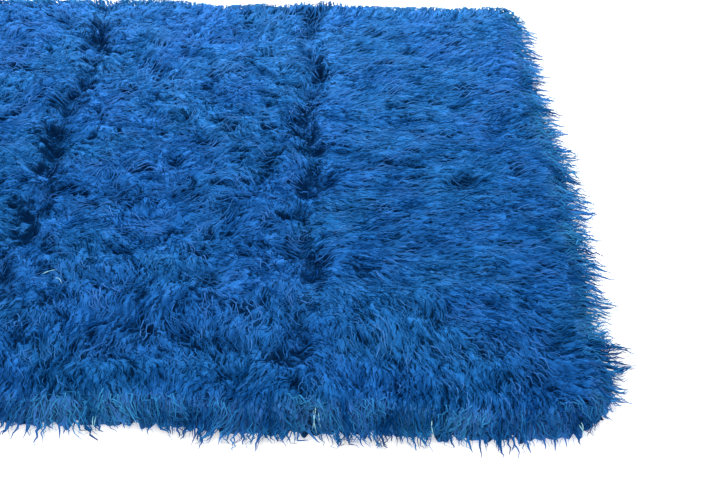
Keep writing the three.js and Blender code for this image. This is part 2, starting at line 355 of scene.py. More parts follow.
    def lay(self, x: np.ndarray, y: np.ndarray) -> np.ndarray:
        """Returns the way the wool lies, as vectors in X and Y.

        Args:
            x: The points' places along the rug.
            y: Their places across it.
        """
        right, middle, left = (fold.line(y) for fold in self.folds)
        far = smooth_step((y - 0.05) / 0.4)
        near = smooth_step((-0.2 - y) / 0.3)
        fan = smooth_step((x - 0.66) / 0.36)
        down = 1.1 * near * near * (1.15 - fan)
        end_panel = np.stack([1 - 0.75 * near * near * (1 - fan), 0.28 * far - 0.08 - 0.35 * near - down], -1)
        mid_panel = np.stack([0.55 - 0.45 * near, 0.38 * far - 0.22 - 1.1 * near], -1)
        left_panel = np.stack([-0.75 + 0.25 * near, 0.14 * far - 0.36 - 0.7 * near], -1)
        last_panel = np.stack([-1 + 0.4 * near, 0.20 * far - 0.10 - 0.7 * near], -1)
        blend = 0.03
        w_right = smooth_step((x - right) / blend + 0.5)[..., None]
        w_middle = smooth_step((x - middle) / blend + 0.5)[..., None]
        w_left = smooth_step((x - left) / blend + 0.5)[..., None]
        lay = last_panel * (1 - w_left) + left_panel * w_left
        lay = lay * (1 - w_middle) + mid_panel * w_middle
        lay = lay * (1 - w_right) + end_panel * w_right
        for fold in self.folds:
            away = x - fold.line(y)
            push = np.where(away > 0, 0.7, 0.4) * np.tanh(away / 0.012)
            lay[..., 0] += push * bump(away, 0.045)
            lay[..., 1] -= 1.4 * bump(away, 0.026)
        for spot in self.cowlicks:
            dx, dy = x - spot.x, y - spot.y
            pull = bump(np.hypot(dx, dy), spot.radius * 1.6)
            lay[..., 0] += 0.5 * pull * (dx - dy * spot.turn) / spot.radius
            lay[..., 1] += 0.5 * pull * (dy + dx * spot.turn) / spot.radius
        slope_x, slope_y = self.rim_slope(x, y, 0.004)
        outward = unit(np.stack([-slope_x, -slope_y], -1))
        inset = self.inset(x, y)
        pull = bump(np.maximum(inset - 0.010, 0), 0.06)[..., None]
        return unit(unit(lay) * (1 - 0.75 * pull) + outward * pull * 1.5)


@dataclass
class NodeKit:
    """Adds nodes to a tree and wires them with values or other sockets."""

    tree: bpy.types.NodeTree

    def add(self, kind: str, inputs: dict[Any, Any] | None = None, **settings: Any) -> bpy.types.Node:
        """Adds one node.

        Args:
            kind: The node's type.
            inputs: A value or an output socket for each input, by its name or number.
            settings: The node's own properties.

        Returns:
            The node.
        """
        node = self.tree.nodes.new(kind)
        for name, value in settings.items():
            setattr(node, name, value)
        for key, value in (inputs or {}).items():
            self.feed(node.inputs[key], value)
        return node

    def feed(self, socket: bpy.types.NodeSocket, value: Any) -> None:
        """Links the socket to an output, or sets its value."""
        if isinstance(value, bpy.types.NodeSocket):
            self.tree.links.new(value, socket)
        else:
            socket.default_value = value

    def math(self, operation: str, *values: Any, clamp: bool = False) -> bpy.types.NodeSocket:
        """Returns the result of a Math node."""
        inputs = dict(enumerate(values))
        return self.add("ShaderNodeMath", inputs, operation=operation, use_clamp=clamp).outputs[0]

    def times(self, value: Any, *others: Any) -> Any:
        """Returns the product of the values."""
        for other in others:
            value = self.math("MULTIPLY", value, other)
        return value

    def plus(self, value: Any, *others: Any) -> Any:
        """Returns the sum of the values."""
        for other in others:
            value = self.math("ADD", value, other)
        return value

    def minus(self, value: Any, other: Any) -> bpy.types.NodeSocket:
        """Returns the first value less the second."""
        return self.math("SUBTRACT", value, other)

    def split(self, vector: Any) -> Any:
        """Returns the X, Y and Z of a vector."""
        return self.add("ShaderNodeSeparateXYZ", {0: vector}).outputs

    def joined(self, x: Any, y: Any, z: Any = 0.0) -> bpy.types.NodeSocket:
        """Returns the vector with this X, Y and Z."""
        return self.add("ShaderNodeCombineXYZ", {0: x, 1: y, 2: z}).outputs[0]

    def noise(self, place: Any, scale: float, detail: float, roughness: float = 0.5) -> Any:
        """Returns the outputs of a noise: a number, then a vector of three."""
        inputs = {"Vector": place, "Scale": scale, "Detail": detail, "Roughness": roughness}
        return self.add("ShaderNodeTexNoise", inputs).outputs

    def vector(self, operation: str, *values: Any) -> bpy.types.NodeSocket:
        """Returns the result of a Vector Math node that gives a vector."""
        inputs = dict(enumerate(values))
        return self.add("ShaderNodeVectorMath", inputs, operation=operation).outputs[0]

    def dot(self, first: Any, second: Any) -> bpy.types.NodeSocket:
        """Returns the dot product of two vectors."""
        inputs = {0: first, 1: second}
        return self.add("ShaderNodeVectorMath", inputs, operation="DOT_PRODUCT").outputs["Value"]

    def scaled(self, vector: Any, factor: Any) -> bpy.types.NodeSocket:
        """Returns the vector times a number."""
        node = self.add("ShaderNodeVectorMath", {"Vector": vector, "Scale": factor}, operation="SCALE")
        return node.outputs[0]

    def ramp(self, value: Any, low: float, high: float, to_low: float = 0, to_high: float = 1) -> Any:
        """Returns the value mapped smoothly from one range to another."""
        inputs = {"Value": value, "From Min": low, "From Max": high, "To Min": to_low, "To Max": to_high}
        return self.add("ShaderNodeMapRange", inputs, interpolation_type="SMOOTHSTEP").outputs[0]

    def dyed(self, colour: Any) -> bpy.types.NodeSocket:
        """Returns the colour a little greener or bluer from place to place, as hand dyeing leaves it."""
        drift = self.noise(self.add("ShaderNodeTexCoord").outputs["Object"], 6.0, 2.0)[0]
        green = self.ramp(drift, 0.36, 0.64, 1.035, 0.965)
        blue = self.ramp(drift, 0.36, 0.64, 0.975, 1.02)
        return self.vector("MULTIPLY", colour, self.joined(1.0, green, blue))

    def toned(self, tone: Any, dark: Colour, middle: Colour, light: Colour) -> bpy.types.NodeSocket:
        """Returns the dye's colour at a tone.

        Args:
            tone: The tone, from 0 to 1.
            dark: The colour at its lowest.
            middle: The colour halfway.
            light: The colour at its highest.
        """
        node = self.add("ShaderNodeValToRGB", {0: tone})
        lowest, highest = node.color_ramp.elements
        lowest.color, lowest.position = (*dark, 1), 0.1
        highest.color, highest.position = (*light, 1), 0.95
        node.color_ramp.elements.new(0.5).color = (*middle, 1)
        return node.outputs[0]

    def mixed(self, share: Any, first: Any, second: Any) -> bpy.types.NodeSocket:
        """Returns the first colour with a share of the second, from 0 to 1."""
        node = self.add("ShaderNodeMix", {0: share, 6: first, 7: second}, data_type="RGBA")
        return node.outputs[2]

    def relief(self, height: Any, strength: float, distance: float) -> bpy.types.NodeSocket:
        """Returns the normal of a surface with a fine relief."""
        inputs = {"Strength": strength, "Distance": distance, "Height": height}
        return self.add("ShaderNodeBump", inputs).outputs[0]

    def shade(self, inputs: dict[str, Any]) -> None:
        """Gives the material a shader with these inputs."""
        shader = self.add("ShaderNodeBsdfPrincipled", inputs)
        self.add("ShaderNodeOutputMaterial", {"Surface": shader.outputs[0]})


def new_material(name: str) -> tuple[bpy.types.Material, NodeKit]:
    made = bpy.data.materials.new(name)
    made.use_nodes = True
    made.node_tree.nodes.clear()
    return made, NodeKit(made.node_tree)


class LockTree:
    """The Geometry Nodes tree that roots locks of wool in a surface and lays them over the pile."""

    inputs: tuple[tuple[str, str, Any], ...] = (
        ("Pile Top", "NodeSocketObject", None),
        ("Spacing", "NodeSocketFloat", 0.0116),
        ("Seed", "NodeSocketInt", 1),
        ("Stations", "NodeSocketInt", 5),
        ("Thickness", "NodeSocketFloat", 0.0013),
        ("Flatness", "NodeSocketFloat", 0.55),
        ("Bluntness", "NodeSocketFloat", 2.6),
        ("Wave", "NodeSocketFloat", 0.016),
        ("Crimp", "NodeSocketFloat", 0.0013),
        ("Unrest", "NodeSocketFloat", 1.0),
        ("Clump Size", "NodeSocketFloat", 0.026),
        ("Clump Pull", "NodeSocketFloat", 0.55),
        ("Loft", "NodeSocketFloat", 0.0026),
        ("Rise", "NodeSocketFloat", 0.0),
        ("Reach", "NodeSocketFloat", 0.72),
        ("Bury", "NodeSocketFloat", 0.35),
        ("Ceiling", "NodeSocketFloat", 0.0625),
        ("Material", "NodeSocketMaterial", None),
    )

    def __init__(self, name: str) -> None:
        """Builds the tree."""
        self.tree = bpy.data.node_groups.new(name, "GeometryNodeTree")
        self.kit = NodeKit(self.tree)
        face = self.tree.interface
        face.new_socket("Geometry", in_out="INPUT", socket_type="NodeSocketGeometry")
        face.new_socket("Geometry", in_out="OUTPUT", socket_type="NodeSocketGeometry")
        for label, kind, value in self.inputs:
            socket = face.new_socket(label, in_out="INPUT", socket_type=kind)
            if value is not None:
                socket.default_value = value
        self.given = self.kit.add("NodeGroupInput").outputs
        points = self._rooted_points()
        curves = self._laid_curves(points)
        self._finish(self._tubes(curves))

    def _named(self, name: str, kind: str = "FLOAT") -> bpy.types.NodeSocket:
        """Returns a stored attribute as a field."""
        return self.kit.add("GeometryNodeInputNamedAttribute", {"Name": name}, data_type=kind).outputs[0]

    def _store(self, geometry: Any, name: str, value: Any, kind: str = "FLOAT", domain: str = "POINT") -> Any:
        """Returns the geometry with one more attribute stored on it."""
        inputs = {"Geometry": geometry, "Name": name, "Value": value}
        node = self.kit.add("GeometryNodeStoreNamedAttribute", inputs, data_type=kind, domain=domain)
        return node.outputs[0]

    def _random(self, low: float, high: float, seed: int) -> bpy.types.NodeSocket:
        """Returns a number that each lock draws once."""
        inputs = {"Min": low, "Max": high, "ID": self._named("lock", "INT"), "Seed": seed}
        return self.kit.add("FunctionNodeRandomValue", inputs, data_type="FLOAT").outputs["Value"]

    def _rooted_points(self) -> bpy.types.NodeSocket:
        """Returns the stations of every lock, all still at the lock's root."""
        kit, given = self.kit, self.given
        inputs = {
            "Mesh": given["Geometry"],
            "Distance Min": given["Spacing"],
            "Density Max": 60000.0,
            "Density Factor": self._named("density"),
            "Seed": given["Seed"],
        }
        spread = kit.add("GeometryNodeDistributePointsOnFaces", distribute_method="POISSON")
        for key, value in inputs.items():
            kit.feed(spread.inputs[key], value)
        index = kit.add("GeometryNodeInputIndex").outputs[0]
        points = self._store(spread.outputs["Points"], "lock", index, "INT")
        place = kit.add("GeometryNodeInputPosition").outputs[0]
        points = self._store(points, "root", place, "FLOAT_VECTOR")
        copies = kit.add("GeometryNodeDuplicateElements", domain="POINT")
        kit.feed(copies.inputs["Geometry"], points)
        kit.feed(copies.inputs["Amount"], given["Stations"])
        last = kit.minus(given["Stations"], 1.0)
        along = kit.math("DIVIDE", copies.outputs["Duplicate Index"], last)
        return self._store(copies.outputs["Geometry"], "along", along)

    def _clump(self) -> tuple[bpy.types.NodeSocket, bpy.types.NodeSocket]:
        """Returns the middle of each lock's clump and three numbers that the clump draws once."""
        kit = self.kit
        root = kit.vector("MULTIPLY", self._named("root", "FLOAT_VECTOR"), (1.0, 1.0, 0.0))
        scale = kit.math("DIVIDE", 1.0, self.given["Clump Size"])
        cells = kit.add("ShaderNodeTexVoronoi", {"Vector": root, "Scale": scale}, voronoi_dimensions="3D")
        return cells.outputs["Position"], cells.outputs["Color"]

    def _laid_curves(self, points: bpy.types.NodeSocket) -> bpy.types.NodeSocket:
        """Returns one curve for each lock, laid over the pile."""
        kit, given = self.kit, self.given
        along = self._named("along")
        root = self._named("root", "FLOAT_VECTOR")
        centre, draws = self._clump()
        draw = kit.split(draws)
        unrest = kit.times(self._named("unrest"), given["Unrest"])
        swirl = kit.split(kit.noise(root, 10.0, 1.0)[1])
        ahead, aside = self._heading(swirl[0], draw[0], unrest)
        lift = self._named("lift")
        reach = kit.times(self._named("long"), self._random(0.68, 1.16, 4))
        reach = kit.times(reach, kit.math("MULTIPLY_ADD", draw[1], 0.5, 0.75), given["Reach"])
        flat = kit.times(reach, kit.minus(1.0, kit.times(lift, 0.7)))
        curl = kit.times(kit.minus(swirl[1], 0.5), 9.0)
        curl = kit.times(kit.plus(curl, self._random(-0.4, 0.4, 8)), unrest)
        curl = kit.plus(curl, self._random(0.06, 0.2, 14))
        turned = kit.times(curl, along)
        radius = kit.math("DIVIDE", flat, curl)
        forward = kit.times(kit.math("SINE", turned), radius)
        sideways = kit.times(kit.minus(1.0, kit.math("COSINE", turned)), radius)
        phase = kit.plus(kit.times(along, self._random(2.0, 3.1, 5)), draw[1])
        phase = kit.times(kit.plus(phase, self._random(-0.12, 0.12, 6)), 2 * math.pi)
        grow = kit.ramp(along, 0.0, 0.4)
        size = kit.times(given["Crimp"], self._random(0.4, 1.6, 7), grow)
        sideways = kit.plus(sideways, kit.times(kit.math("SINE", phase), size))
        place = kit.vector("ADD", root, kit.scaled(ahead, forward))
        place = kit.vector("ADD", place, kit.scaled(aside, sideways))
        place = kit.vector("ADD", place, self._shared_wave(place, grow, unrest))
        place = kit.vector("ADD", place, self._gathering(centre, root, aside, along))
        height = self._height(place, along, reach, lift, kit.math("COSINE", phase), size, draw[1])
        parts = kit.split(place)
        place = kit.joined(parts[0], parts[1], height)
        moved = kit.add("GeometryNodeSetPosition", {"Geometry": points, "Position": place}).outputs[0]
        node = kit.add("GeometryNodePointsToCurves", {"Points": moved, "Weight": along})
        kit.feed(node.inputs["Curve Group ID"], self._named("lock", "INT"))
        return node.outputs[0]

    def _gathering(self, centre: Any, root: Any, aside: Any, along: Any) -> bpy.types.NodeSocket:
        """Returns how far a station is drawn towards the middle line of its clump.

        Args:
            centre: The middle of the clump.
            root: The lock's root.
            aside: The way to the lock's left.
            along: How far along its lock the station is, from 0 to 1.
        """
        kit = self.kit
        gather = kit.vector("MULTIPLY", kit.vector("SUBTRACT", centre, root), (1.0, 1.0, 0.0))
        across = kit.scaled(aside, kit.dot(gather, aside))
        gather = kit.vector("ADD", kit.scaled(across, 0.8), kit.scaled(gather, 0.2))
        return kit.scaled(gather, kit.times(self.given["Clump Pull"], kit.ramp(along, 0.1, 1.0)))

    def _heading(self, swirl: Any, draw: Any, unrest: Any) -> tuple[Any, Any]:
        """Returns the way a lock sets out, and the way to its left.

        Args:
            swirl: A number that changes slowly over the rug.
            draw: A number that the clump draws once.
            unrest: How much the wool is tousled there.
        """
        kit = self.kit
        swirl = kit.times(kit.minus(swirl, 0.5), 6.5)
        own = kit.times(kit.minus(draw, 0.5), 0.5)
        turn = kit.times(kit.plus(swirl, own), unrest)
        turn = kit.plus(turn, self._random(-0.09, 0.09, 3))
        lay = self._named("lay", "FLOAT_VECTOR")
        inputs = {"Vector": lay, "Angle": turn}
        ahead = kit.add("ShaderNodeVectorRotate", inputs, rotation_type="Z_AXIS").outputs[0]
        inputs = {"Vector": ahead, "Angle": math.pi / 2}
        aside = kit.add("ShaderNodeVectorRotate", inputs, rotation_type="Z_AXIS").outputs[0]
        return ahead, aside

    def _shared_wave(self, place: Any, grow: Any, unrest: Any) -> bpy.types.NodeSocket:
        """Returns the sway that all wool at a place shares, so that neighbours wave together.

        Args:
            place: Where the station is, seen from above.
            grow: How free it is of its root, from 0 to 1.
            unrest: How much the wool is tousled there.
        """
        kit = self.kit
        seen = kit.vector("MULTIPLY", place, (1.0, 1.0, 0.0))
        wave = kit.noise(seen, 26.0, 1.6, 0.6)[1]
        wave = kit.vector("MULTIPLY", kit.vector("SUBTRACT", wave, (0.5, 0.5, 0.5)), (2.0, 2.0, 0.0))
        size = kit.times(self.given["Wave"], kit.math("MULTIPLY_ADD", unrest, 0.9, 0.45), grow)
        return kit.scaled(wave, size)

    def _height(
        self, place: Any, along: Any, reach: Any, lift: Any, ripple: Any, size: Any, draw: Any
    ) -> bpy.types.NodeSocket:
        """Returns how high each station lies: on the pile's top, with its root sunk in it.

        Args:
            place: Where the station is, seen from above.
            along: How far along its lock it is, from 0 to 1.
            reach: The lock's length.
            lift: How upright the lock stands, from 0 to 1.
            ripple: The lock's crimp, a quarter turn on.
            size: The size of the crimp.
            draw: A number that the clump draws once.
        """
        kit, given = self.kit, self.given
        top = kit.add("GeometryNodeObjectInfo", {"Object": given["Pile Top"]}).outputs["Geometry"]
        seen = kit.vector("MULTIPLY", place, (1.0, 1.0, 0.0))
        ray = kit.add("GeometryNodeRaycast", {"Target Geometry": top})
        kit.feed(ray.inputs["Source Position"], kit.vector("ADD", seen, (0.0, 0.0, 1.0)))
        kit.feed(ray.inputs["Ray Length"], 2.0)
        surface = kit.split(ray.outputs["Hit Position"])[2]
        sunk = kit.times(kit.ramp(along, 0.0, 0.42, -1.0, 0.0), given["Bury"])
        sunk = kit.math("MULTIPLY_ADD", sunk, surface, given["Rise"])
        heap = kit.times(kit.minus(kit.noise(seen, 42.0, 1.5)[0], 0.5), 5.0)
        layer = kit.plus(kit.minus(draw, 0.5), kit.plus(heap, self._random(-0.35, 0.35, 9)))
        layer = kit.times(layer, given["Loft"], kit.ramp(along, 0.0, 0.6))
        stand = kit.times(reach, lift, kit.times(along, 0.4))
        ripples = kit.times(ripple, size, 0.6)
        height = kit.plus(kit.plus(surface, sunk), kit.plus(layer, stand), ripples)
        least = kit.times(given["Thickness"], 1.2)
        return kit.math("MINIMUM", kit.math("MAXIMUM", height, least), given["Ceiling"])

    def _tubes(self, curves: bpy.types.NodeSocket) -> bpy.types.NodeSocket:
        """Returns the locks as closed three-sided ribbons that taper to their tips."""
        kit, given = self.kit, self.given
        along = self._named("along")
        taper = kit.minus(1.0, kit.times(kit.math("POWER", along, given["Bluntness"]), 0.88))
        body = kit.times(given["Thickness"], self._random(0.6, 1.3, 10), taper)
        curves = kit.add("GeometryNodeSetCurveNormal", {"Curve": curves}, mode="Z_UP").outputs[0]
        lean = kit.plus(self._random(-0.5, 0.5, 11), kit.times(along, self._random(-1.2, 1.2, 12)))
        curves = kit.add("GeometryNodeSetCurveTilt", {"Curve": curves, "Tilt": lean}).outputs[0]
        inputs = {"Resolution": 3, "Radius": 1.0}
        ring = kit.add("GeometryNodeCurvePrimitiveCircle", inputs, mode="RADIUS").outputs[0]
        inputs = {"Geometry": ring, "Rotation": (0.0, 0.0, -math.pi / 2)}
        ring = kit.add("GeometryNodeTransform", inputs).outputs[0]
        flat = kit.joined(1.2, given["Flatness"], 1.0)
        ring = kit.add("GeometryNodeTransform", {"Geometry": ring, "Scale": flat}).outputs[0]
        side = kit.split(kit.add("GeometryNodeInputPosition").outputs[0])[0]
        ring = self._store(ring, "side", side)
        inputs = {"Curve": curves, "Profile Curve": ring, "Fill Caps": True}
        swept = kit.add("GeometryNodeCurveToMesh", inputs)
        kit.feed(swept.inputs["Scale"], body)
        return swept.outputs[0]

    def _finish(self, mesh: bpy.types.NodeSocket) -> None:
        """Gives the tubes their own map, in which u is a lock's tone and v runs from root to tip."""
        kit, given = self.kit, self.given
        seen = kit.vector("MULTIPLY", self._named("root", "FLOAT_VECTOR"), (1.0, 1.0, 0.0))
        blotch = kit.noise(seen, 17.0, 3.0, 0.6)[0]
        # A random tone by blotch and by lock, plus the field's tone, which carries painted light and shade.
        tone = kit.plus(kit.ramp(blotch, 0.33, 0.67), self._random(-0.07, 0.07, 13))
        tone = kit.math("ADD", tone, self._named("tone"), clamp=True)
        u = kit.math("MULTIPLY_ADD", tone, 0.94, 0.03)
        u = kit.math("MULTIPLY_ADD", self._named("side"), 0.012, u)
        uv = kit.joined(u, self._named("along"))
        mesh = self._store(mesh, UV_NAME, uv, "FLOAT2", "CORNER")
        mesh = kit.add("GeometryNodeSetShadeSmooth", {"Geometry": mesh}).outputs[0]
        mesh = kit.add("GeometryNodeRealizeInstances", {"Geometry": mesh}).outputs[0]
        inputs = {"Geometry": mesh, "Material": given["Material"]}
        mesh = kit.add("GeometryNodeSetMaterial", inputs).outputs[0]
        kit.add("NodeGroupOutput", {"Geometry": mesh})


@dataclass(frozen=True)
class WoolFinish:
    """Dyed wool in locks, streaked with fibres, with painted shade at the roots and between the fibres and
    painted light towards the tips.

    Attributes:
        name: The material's name.
        dark: The dye's colour at the lowest tone.
        middle: The dye's colour at the middle tone.
        light: The dye's colour at the highest tone.
        root_shade: How much of the colour's light is left at the root.
        tip_shine: How much more light the tip has.
        gap_shade: How much light is left between two fibres.
        roughness: The surface's roughness.
        sheen: The strength of the soft shine along the outline.
    """

    name: str = "wool_locks"
    dark: Colour = (0.002, 0.055, 0.225)
    middle: Colour = (0.012, 0.112, 0.374)
    light: Colour = (0.043, 0.180, 0.530)
    root_shade: float = 0.80
    tip_shine: float = 1.0
    gap_shade: float = 0.66
    roughness: float = 0.60
    sheen: float = 0.0

    def material(self) -> bpy.types.Material:
        """Returns the material, which reads the locks' own map."""
        made, kit = new_material(self.name)
        u, v, _ = kit.split(kit.add("ShaderNodeUVMap", uv_map=UV_NAME).outputs[0])
        place = kit.joined(kit.times(u, 190.0), kit.times(v, 4.0))
        fibres = kit.noise(place, 1.0, 2.0)[0]
        # Painted shade between the fibres and at the roots, and painted light at the tips.
        streak_and_gap_shade = kit.ramp(fibres, 0.34, 0.62, self.gap_shade, 1.15)
        shade = kit.ramp(v, 0.02, 0.5, self.root_shade, 1.0)
        tip = kit.ramp(v, 0.6, 1.0, 1.0, self.tip_shine)
        dye = kit.toned(u, self.dark, self.middle, self.light)
        kit.shade(
            {
                "Base Color": kit.dyed(kit.scaled(dye, kit.times(streak_and_gap_shade, shade, tip))),
                "Roughness": self.roughness,
                "Sheen Weight": self.sheen,
                "Sheen Roughness": 0.45,
                "Sheen Tint": (0.35, 0.62, 1.0, 1.0),
                "Specular IOR Level": 0.01,
                "Specular Tint": (0.35, 0.65, 1.0, 1.0),
                "Normal": kit.relief(fibres, 1.0, 0.002),
            }
        )
        return made


@dataclass(frozen=True)
class FeltFinish:
    """Dyed wool felted together, with fine fibre lines that follow the lay of the wool and painted shade
    between the lines.

    Its tone, which carries painted light and shade, the painted shade of its cracks and hollows and the lay
    come from the piece's attributes tone, crack and way.

    Attributes:
        name: The material's name.
        dark: The dye's colour at the lowest tone.
        middle: The dye's colour at the middle tone.
        light: The dye's colour at the highest tone.
        crack: The colour of the painted shade deep in a crack or a hollow.
        roughness: The surface's roughness.
        clump: The size of a clump, whose fibres all run one way.
        ragged: How far the clumps' borders wander.
        fibre: The spacing of the fibre lines.
        stretch: How many times a metre's length of line changes its tone.
        crimp: How far a tousled fibre sways to each side.
        least_crimp: How far a calm fibre sways.
        crimp_length: The length of one sway.
        line_shade: How much light is left between two lines.
    """

    name: str = "felted_wool"
    dark: Colour = (0.001, 0.028, 0.110)
    middle: Colour = (0.011, 0.096, 0.312)
    light: Colour = (0.042, 0.184, 0.530)
    crack: Colour = (0.001, 0.012, 0.050)
    roughness: float = 0.85
    clump: float = 0.030
    ragged: float = 0.022
    fibre: float = 0.0028
    stretch: float = 42.0
    crimp: float = 0.0016
    least_crimp: float = 0.0004
    crimp_length: float = 0.013
    line_shade: float = 0.24

    def _fibres(self, kit: NodeKit) -> bpy.types.NodeSocket:
        """Returns the tone of the fibres, which run the same way through each clump of wool.

        Args:
            kit: The material's nodes. The piece's attribute way holds the way the wool lies, and how
                tousled it is as its third value.
        """
        place = kit.add("ShaderNodeTexCoord").outputs["Object"]
        way = kit.add("ShaderNodeAttribute", attribute_name="way").outputs["Vector"]
        way_x, way_y, unrest = kit.split(way)
        bend = kit.vector("SUBTRACT", kit.noise(place, 70.0, 2.0)[1], (0.5, 0.5, 0.5))
        bent = kit.vector("ADD", place, kit.scaled(bend, self.ragged))
        inputs = {"Vector": bent, "Scale": 1 / self.clump}
        cells = kit.add("ShaderNodeTexVoronoi", inputs, voronoi_dimensions="2D")
        draw, turn, _ = kit.split(cells.outputs["Color"])
        off_x, off_y, _ = kit.split(kit.vector("SUBTRACT", place, cells.outputs["Position"]))
        along = kit.plus(kit.times(off_x, way_x), kit.times(off_y, way_y))
        across = kit.minus(kit.times(off_y, way_x), kit.times(off_x, way_y))
        slant = kit.times(kit.minus(turn, 0.5), kit.math("MULTIPLY_ADD", unrest, 1.7, 0.15))
        across = kit.math("MULTIPLY_ADD", along, slant, across)
        drift = kit.times(kit.noise(place, 45.0, 1.0)[0], 14.0)
        phase = kit.math("MULTIPLY_ADD", along, 2 * math.pi / self.crimp_length, drift)
        swing = kit.math("MULTIPLY_ADD", unrest, self.crimp, self.least_crimp)
        across = kit.plus(across, kit.times(kit.math("SINE", phase), swing))
        lane = kit.math("DIVIDE", across, self.fibre)
        spot = kit.joined(lane, kit.times(along, self.stretch), kit.times(draw, 40.0))
        return kit.noise(spot, 1.0, 1.5)[0]

    def material(self) -> bpy.types.Material:
        """Returns the material, which reads the piece's attributes tone, crack and way."""
        made, kit = new_material(self.name)
        tone = kit.add("ShaderNodeAttribute", attribute_name="tone").outputs["Fac"]
        crack = kit.add("ShaderNodeAttribute", attribute_name="crack").outputs["Fac"]
        fibres = self._fibres(kit)
        # Painted shade between the fibre lines, deeper in the cracks and hollows.
        streak_and_gap_shade = kit.math("MULTIPLY_ADD", crack, -0.20, fibres)
        streak_and_gap_shade = kit.ramp(streak_and_gap_shade, 0.37, 0.53, self.line_shade, 1.18)
        # The tone carries painted light and shade.
        dye = kit.toned(tone, self.dark, self.middle, self.light)
        wool = kit.dyed(kit.scaled(dye, streak_and_gap_shade))
        kit.shade(
            {
                # Painted shade of the cracks and hollows, mixed towards the crack colour.
                "Base Color": kit.mixed(kit.times(crack, 0.85), wool, (*self.crack, 1)),
                "Roughness": self.roughness,
                "Specular IOR Level": 0.0,
                "Normal": kit.relief(fibres, 0.8, 0.0015),
            }
        )
        return made


@dataclass(frozen=True)
class WeaveFinish:
    """The woven ground seen from below: rows of knots between rows of weft."""

    name: str = "ground_weave"
    yarn: Colour = (0.020, 0.110, 0.330)
    gap: Colour = (0.006, 0.040, 0.140)
    row: float = 0.006

    def material(self) -> bpy.types.Material:
        """Returns the material, which reads Object coordinates."""
        made, kit = new_material(self.name)
        place = kit.add("ShaderNodeTexCoord").outputs["Object"]
        x, y, _ = kit.split(place)
        knots = kit.math("SINE", kit.times(x, math.pi / self.row))
        wefts = kit.math("SINE", kit.times(y, math.pi / self.row))
        height = kit.math("ABSOLUTE", kit.times(knots, wefts))
        height = kit.math("MULTIPLY_ADD", kit.noise(place, 60.0, 4.0)[0], 0.5, height)
        share = kit.ramp(height, 0.2, 1.0)
        kit.shade(
            {
                "Base Color": kit.mixed(share, (*self.gap, 1), (*self.yarn, 1)),
                "Roughness": 0.9,
                "Normal": kit.relief(height, 0.7, 0.0015),
            }
        )
        return made


def plain_object(name: str, points: np.ndarray, faces: list[tuple[int, ...]]) -> bpy.types.Object:
    """Returns a new object at the origin.

    Args:
        name: The object's name.
        points: Its vertices.
        faces: The vertex numbers of each face, anticlockwise from outside.
    """
    mesh = bpy.data.meshes.new(name)
    mesh.from_pydata(points.tolist(), [], faces)
    mesh.update()
    made = bpy.data.objects.new(name, mesh)
    bpy.context.scene.collection.objects.link(made)
    return made


